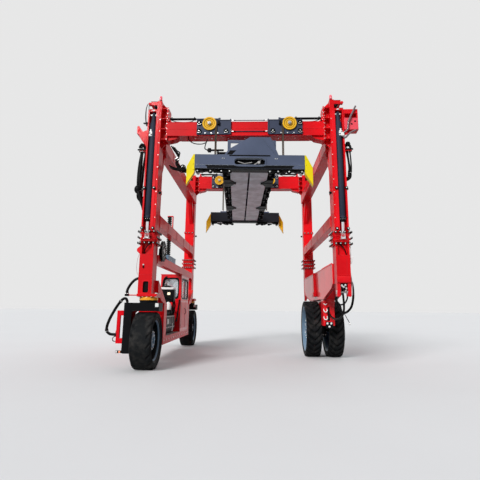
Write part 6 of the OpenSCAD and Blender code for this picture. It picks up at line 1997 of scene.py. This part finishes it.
# Spreader
@dataclass(frozen=True)
class Spreader:
    """Trims of the spreader, worked out in its own turned frame."""
    middle: tuple[float, float] = (0.0, -0.695)
    skew: float = 2.4
    low: float = 4.263
    top: float = 4.583
    half_w: float = 1.204

    def turned_in(self, solid: Solid) -> Solid:
        """From the spreader's own frame to the portal's."""
        return solid.spun(2, self.skew).at((*self.middle, 0))

    def end(self, name: str, s: int) -> None:
        """End beam trims: slot rim, lugs, edge bolts, twist locks and underside fittings, with painted shade
        in the slot and a painted shadow line under the ledge.

        Args:
            name: front or rear.
            s: -1 for the front end, 1 for the rear one; the forms are drawn for the rear one.
        """
        piece = Piece(f"spreader_end_{name}_trim", f"spreader_{name}_end")
        flip = np.diag([1, s, 1])
        low, top = self.low, self.top
        mid, line = (low + top) / 2, low + 0.085

        def put(finish: Finish, *solids: Solid) -> None:
            """Adds solids drawn for the rear end, turned to this one."""
            piece.add(finish, *(self.turned_in(p.through(flip)) for p in solids))

        outer, inner = oval((0, mid), (0.366, 0.116), 5, 56), oval((0, mid), (0.334, 0.086), 4, 56)
        put(SPREADER, frame_plate(outer, inner, 1, 3.0, 3.04),
            slab((-1.19, 1.19), (3.0295, 3.046), (line - 0.012, line + 0.004), 0.003))
        put(STEEL, rod((-0.26, 2.97, mid + 0.02), (-0.12, 2.97, mid - 0.03), 0.014, 10),
            rod((-0.12, 2.97, mid - 0.03), (0.05, 2.975, mid), 0.012, 10),
            rod((0.1, 2.96, mid - 0.05), (0.24, 2.96, mid + 0.05), 0.016, 10),
            turned([(0.03, -0.02), (0.036, -0.015), (0.036, 0.015), (0.03, 0.02)], Way.BACK,
                   (0.2, 2.97, mid), 16))
        # The first black sheet is painted shade inside the slot; the second, under the ledge, is a painted
        # shadow line.
        put(BLACK, slab((-0.33, 0.33), (2.912, 2.916), (mid - 0.085, mid + 0.085), 0.001),
            slab((-1.0, 1.0), (3.0295, 3.034), (low + 0.004, line - 0.014), 0.002),
            slab((-0.45, 0.45), (3.0295, 3.038), (top - 0.034, top - 0.006), 0.003),
            slab((-1.19, 1.19), (2.78, 3.026), (low - 0.012, low + 0.001)))
        knob = turned([(0.03, 0.0), (0.045, 0.01), (0.045, 0.05), (0.03, 0.062)], Way.DOWN, sides=16)
        tip = turned([(0.012, 0.0), (0.016, 0.003), (0.012, 0.008)], Way.BACK, sides=12)
        for x in (-1, 1):
            knobs = np.array([(x * u, 2.97, low - 0.03) for u in (1.14, 0.86, 0.62, 0.44)])
            pipes = np.array([(x, 2.98, low - 0.02), (x * 0.9, 2.98, low - 0.06),
                              (x * 0.8, 2.98, low - 0.03), (x * 0.68, 2.98, low - 0.07),
                              (x * 0.55, 2.98, low - 0.05), (x * 0.42, 2.98, low - 0.08)])
            put(SPREADER, prism([(x * 0.93, low - 0.001), (x * 1.2, low - 0.001), (x * 1.2, low + 0.1),
                                 (x * 1.02, low + 0.1), (x * 0.93, low + 0.03)], 1, 3.028, 3.041, 0.002))
            put(WHITE,
                bolts(0.009, 0.008, Way.BACK, np.array([(x * u, 3.03, top - 0.09) for u in (0.56, 0.6)])),
                tip.at(knobs + (0, 0.044, -0.025)))
            put(HOSE, pipe(pipes, 0.016), pipe(pipes + (x * 0.03, -0.05, 0.02), 0.012))
            put(BLACK, knob.at(knobs),
                slab(sorted((x * 1.02, x * 1.19)), (2.84, 3.0), (low - 0.05, low), 0.006),
                slab(sorted((x * 0.72, x * 0.95)), (2.88, 3.0), (low - 0.036, low), 0.006),
                rod((x * 0.95, 2.94, low - 0.03), (x * 1.06, 2.94, low - 0.03), 0.02, 12),
                turned([(0.026, 0.0), (0.036, 0.004), (0.036, 0.02), (0.028, 0.026)], Way.DOWN,
                       (x * 1.13, 2.94, low - 0.048), 20),
                rod((x * 0.45, 2.86, low - 0.03), (x * 0.8, 2.86, low - 0.03), 0.024, 14))
            lock = oval((x * 1.13, 2.94), (0.034, 0.05), 4, 20)
            put(STEEL, prism(lock, 2, low - 0.109, low - 0.078, 0.008))
            put(CHROME, rod((x * 0.8, 2.86, low - 0.03), (x * 0.98, 2.86, low - 0.03), 0.011, 10))
        piece.build()

    def guide(self, name: str, s: int, finish: Paint) -> None:
        """Corner guides: flared plates with folded rims, ribs and bolts, and an amber strip of painted shade
        along each lower edge.

        Args:
            name: front or rear.
            s: -1 for the front end, 1 for the rear one.
            finish: the guides' paint.
        """
        piece = Piece(f"guides_{name}_dressed", f"spreader_{name}_end")
        half, top = self.half_w, self.top
        front = [(half, top), (half + 0.03, top), (half + 0.17, top - 0.28), (half + 0.17, top - 0.7),
                 (half, top - 0.42)]
        side = [(half, top), (half + 0.016, top), (half + 0.016, top - 0.399), (half + 0.17, top - 0.67),
                (half + 0.17, top - 0.7), (half, top - 0.42)]
        rib = [(half + 0.012, top - 0.03), (half + 0.03, top - 0.06), (half + 0.15, top - 0.3),
               (half + 0.15, top - 0.62), (half + 0.012, top - 0.4)]
        lip = [(half + 0.002, top - 0.425), (half + 0.168, top - 0.702), (half + 0.168, top - 0.672),
               (half + 0.002, top - 0.395)]
        painted = joined(prism(outline, 1, start, end) for outline, start, end in
                         ((front, 3.014, 3.03), (side, 2.91, 3.015), (rib, 2.955, 2.965)))
        painted += bolts(0.01, 0.008, Way.BACK,
                         row((half + 0.03, 3.03, top - 0.09), (half + 0.03, 3.03, top - 0.35), 3))
        # The amber strip along the lower sloping edge is painted shade.
        for colour, form in ((finish, painted), (AMBER, prism(lip, 1, 3.026, 3.036, 0.002))):
            piece.add(colour, self.turned_in(form.through(np.diag([1, s, 1])).mirrored()))
        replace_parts(piece.build(), f"guides_{name}")

    def frame_trim(self) -> None:
        """Rims, arrowheads, brackets, pipes and valves along the main frame, and the front head's edges, with
        a black triangle of painted shade on its plate.
        """
        piece = Piece("spreader_frame_trim", "spreader")

        def put(finish: Finish, *solids: Solid) -> None:
            """Adds solids in the spreader's frame."""
            piece.add(finish, *(self.turned_in(p) for p in solids))

        knob = turned([(0.03, 0), (0.04, 0.01), (0.04, 0.07), (0.03, 0.08)], Way.DOWN, (0.56, 0, 4.31), 14)
        tip = turned([(0.012, 0), (0.016, 0.004), (0.01, 0.012)], Way.FRONT, (0.57, -0.031, 4.36), 10)
        stations = [(0, v, 0) for v in (-2.45, -1.3, -0.7, 0.0, 1.6, 2.2)]
        rim = slab((0.009, 0.441), (0, 0.02), (4.287, 4.293), 0.002)
        rim += slab((0.424, 0.436), (0, 0.02), (4.293, 4.58), 0.002)
        arrow = prism([(0.3, 0), (0.46, -0.3), (0.46, 0.3)], 2, 4.272, 4.292)
        arrow += slab((0.3, 0.6), (-0.05, 0.05), (4.262, 4.3), 0.006)
        arrow += slab((0.44, 0.6), (-0.3, 0.3), (4.27, 4.5), 0.01)
        put(SPREADER, rim.at((0, -2.72, 0), (0, 2.7, 0)).mirrored())
        put(BLACK, arrow.at((0, -1.85, 0), (0, 0.8, 0)).mirrored(),
            (slab((0.44, 0.6), (-0.03, 0.03), (4.3, 4.56), 0.006) + knob).at(*stations).mirrored())
        put(WHITE, tip.at(*stations).mirrored())
        lines = ((0.5, 4.34, 0.018), (0.545, 4.42, 0.022), (0.6, 4.36, 0.014), (0.62, 4.48, 0.016))
        put(BLACK, *(rod((u, -2.6, z), (u, 2.6, z), r, 10).mirrored() for u, z, r in lines))
        for x in (-1, 1):
            for sway in (0.0, 0.01, 0.02):
                wide = x * (0.49 + sway)
                path = [(x * 0.46, -2.5, 4.56), (x * 0.47, -2.3, 4.5 - sway), (wide, -1.9, 4.46),
                        (x * 0.48, -1.4, 4.4 - 2 * sway), (wide, -0.9, 4.46), (x * 0.48, -0.3, 4.39 - sway),
                        (wide, 0.3, 4.46), (x * 0.48, 0.9, 4.4), (x * 0.49, 1.4, 4.46), (x * 0.47, 2.0, 4.5)]
                put(HOSE, pipe(path, 0.012))
        head = -2.72
        plate = (head + 0.176, head + 0.208)
        gable = [(-0.64, 4.583), (-0.46, 4.823), (0.02, 5.12), (0.48, 5.12), (0.7, 4.583)]
        put(SPREADER, tube(np.array([(x, head + 0.012, z) for x, z in gable]), 0.014, 8),
            slab((-0.5, 0.62), plate, (5.1, 5.126)), slab((-0.504, -0.49), plate, (4.6, 5.12), 0.003),
            slab((0.61, 0.624), plate, (4.6, 5.12), 0.003),
            tube(np.array([(0.3, head - 0.003, 5.1), (0.68, head - 0.003, 4.6)]), 0.01, 8))
        # Black triangle on the head plate: painted shade in its opening.
        put(BLACK, prism([(-0.6, 4.6), (-0.44, 4.8), (-0.3, 4.8), (-0.5, 4.6)], 1, head - 0.004,
                         head + 0.001, 0.001),
            slab((-0.2, 0.22), (head - 0.022, head + 0.001), (4.588, 4.612), 0.006),
            slab((-0.06, 0.02), (head - 0.03, head + 0.001), (4.606, 4.64), 0.008),
            slab((-0.72, -0.46), (head + 0.04, head + 0.1), (4.735, 4.775), 0.006),
            slab((-0.74, -0.7), (head + 0.03, head + 0.11), (4.72, 4.79), 0.006))
        piece.build()

    def sockets(self) -> None:
        """Rope sockets with their pins, where the four ropes meet the spreader."""
        places = [(cx + s * 0.79, y, 4.703) for cx, y in ((0.105, -3.177), (-0.135, 2.493)) for s in (-1, 1)]
        cup = turned([(0.034, 0.0), (0.034, 0.01), (0.031, 0.014), (0.031, 0.052), (0.024, 0.0599),
                      (0.012, 0.06)], sides=24)
        pins = bolts(0.011, 0.01, Way.FRONT, np.array(places) + (0, -0.1015, -0.06))
        Piece("rope_sockets", "spreader").add(ZINC, cup.at(*places)).add(STEEL, pins).build()

    def build(self) -> None:
        """Builds all pieces of the spreader."""
        self.end("front", -1)
        self.end("rear", 1)
        self.guide("front", -1, YELLOW)
        self.guide("rear", 1, AMBER)
        self.frame_trim()
        self.sockets()


def dress(nodes: dict[str, bpy.types.Object]) -> None:
    """Gives each shown CAD node its finish.

    Args:
        nodes: the CAD nodes by name.
    """
    special: dict[str, Finish] = {"chassis_right": RED_GLOSS, "cab_frame": RED_GLOSS,
                                  "trolleys_front": DARK, "trolleys_rear": DARK, "spreader_frame": SPREADER,
                                  # The rear end beam takes the darkened spreader grey as painted shade.
                                  "spreader_end_front": SPREADER, "spreader_end_rear": SPREADER_IN_SHADE,
                                  "drive_housing": BLACK, "fork_front_left": FORK, "fork_rear_left": FORK,
                                  "lift_rods_left": CHROME, "lift_rods_right": CHROME, "cab_glass": PANE}
    for name, node in nodes.items():
        node.data.materials.clear()
        node.data.materials.append(special.get(name, RED).material())


def main() -> None:
    """Builds the studio, the free hoses and every piece."""
    Studio().build()
    hoses()
    dress(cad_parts)
    for part in (Masts(), Beams(), Trolleys(), Legs(), SteeredWheels(), TwinWheels(), RightChassis(),
                 LeftChassis(), Spreader()):
        part.build()


if __name__ == "__main__":
    logging.basicConfig(level=logging.INFO)
    main()
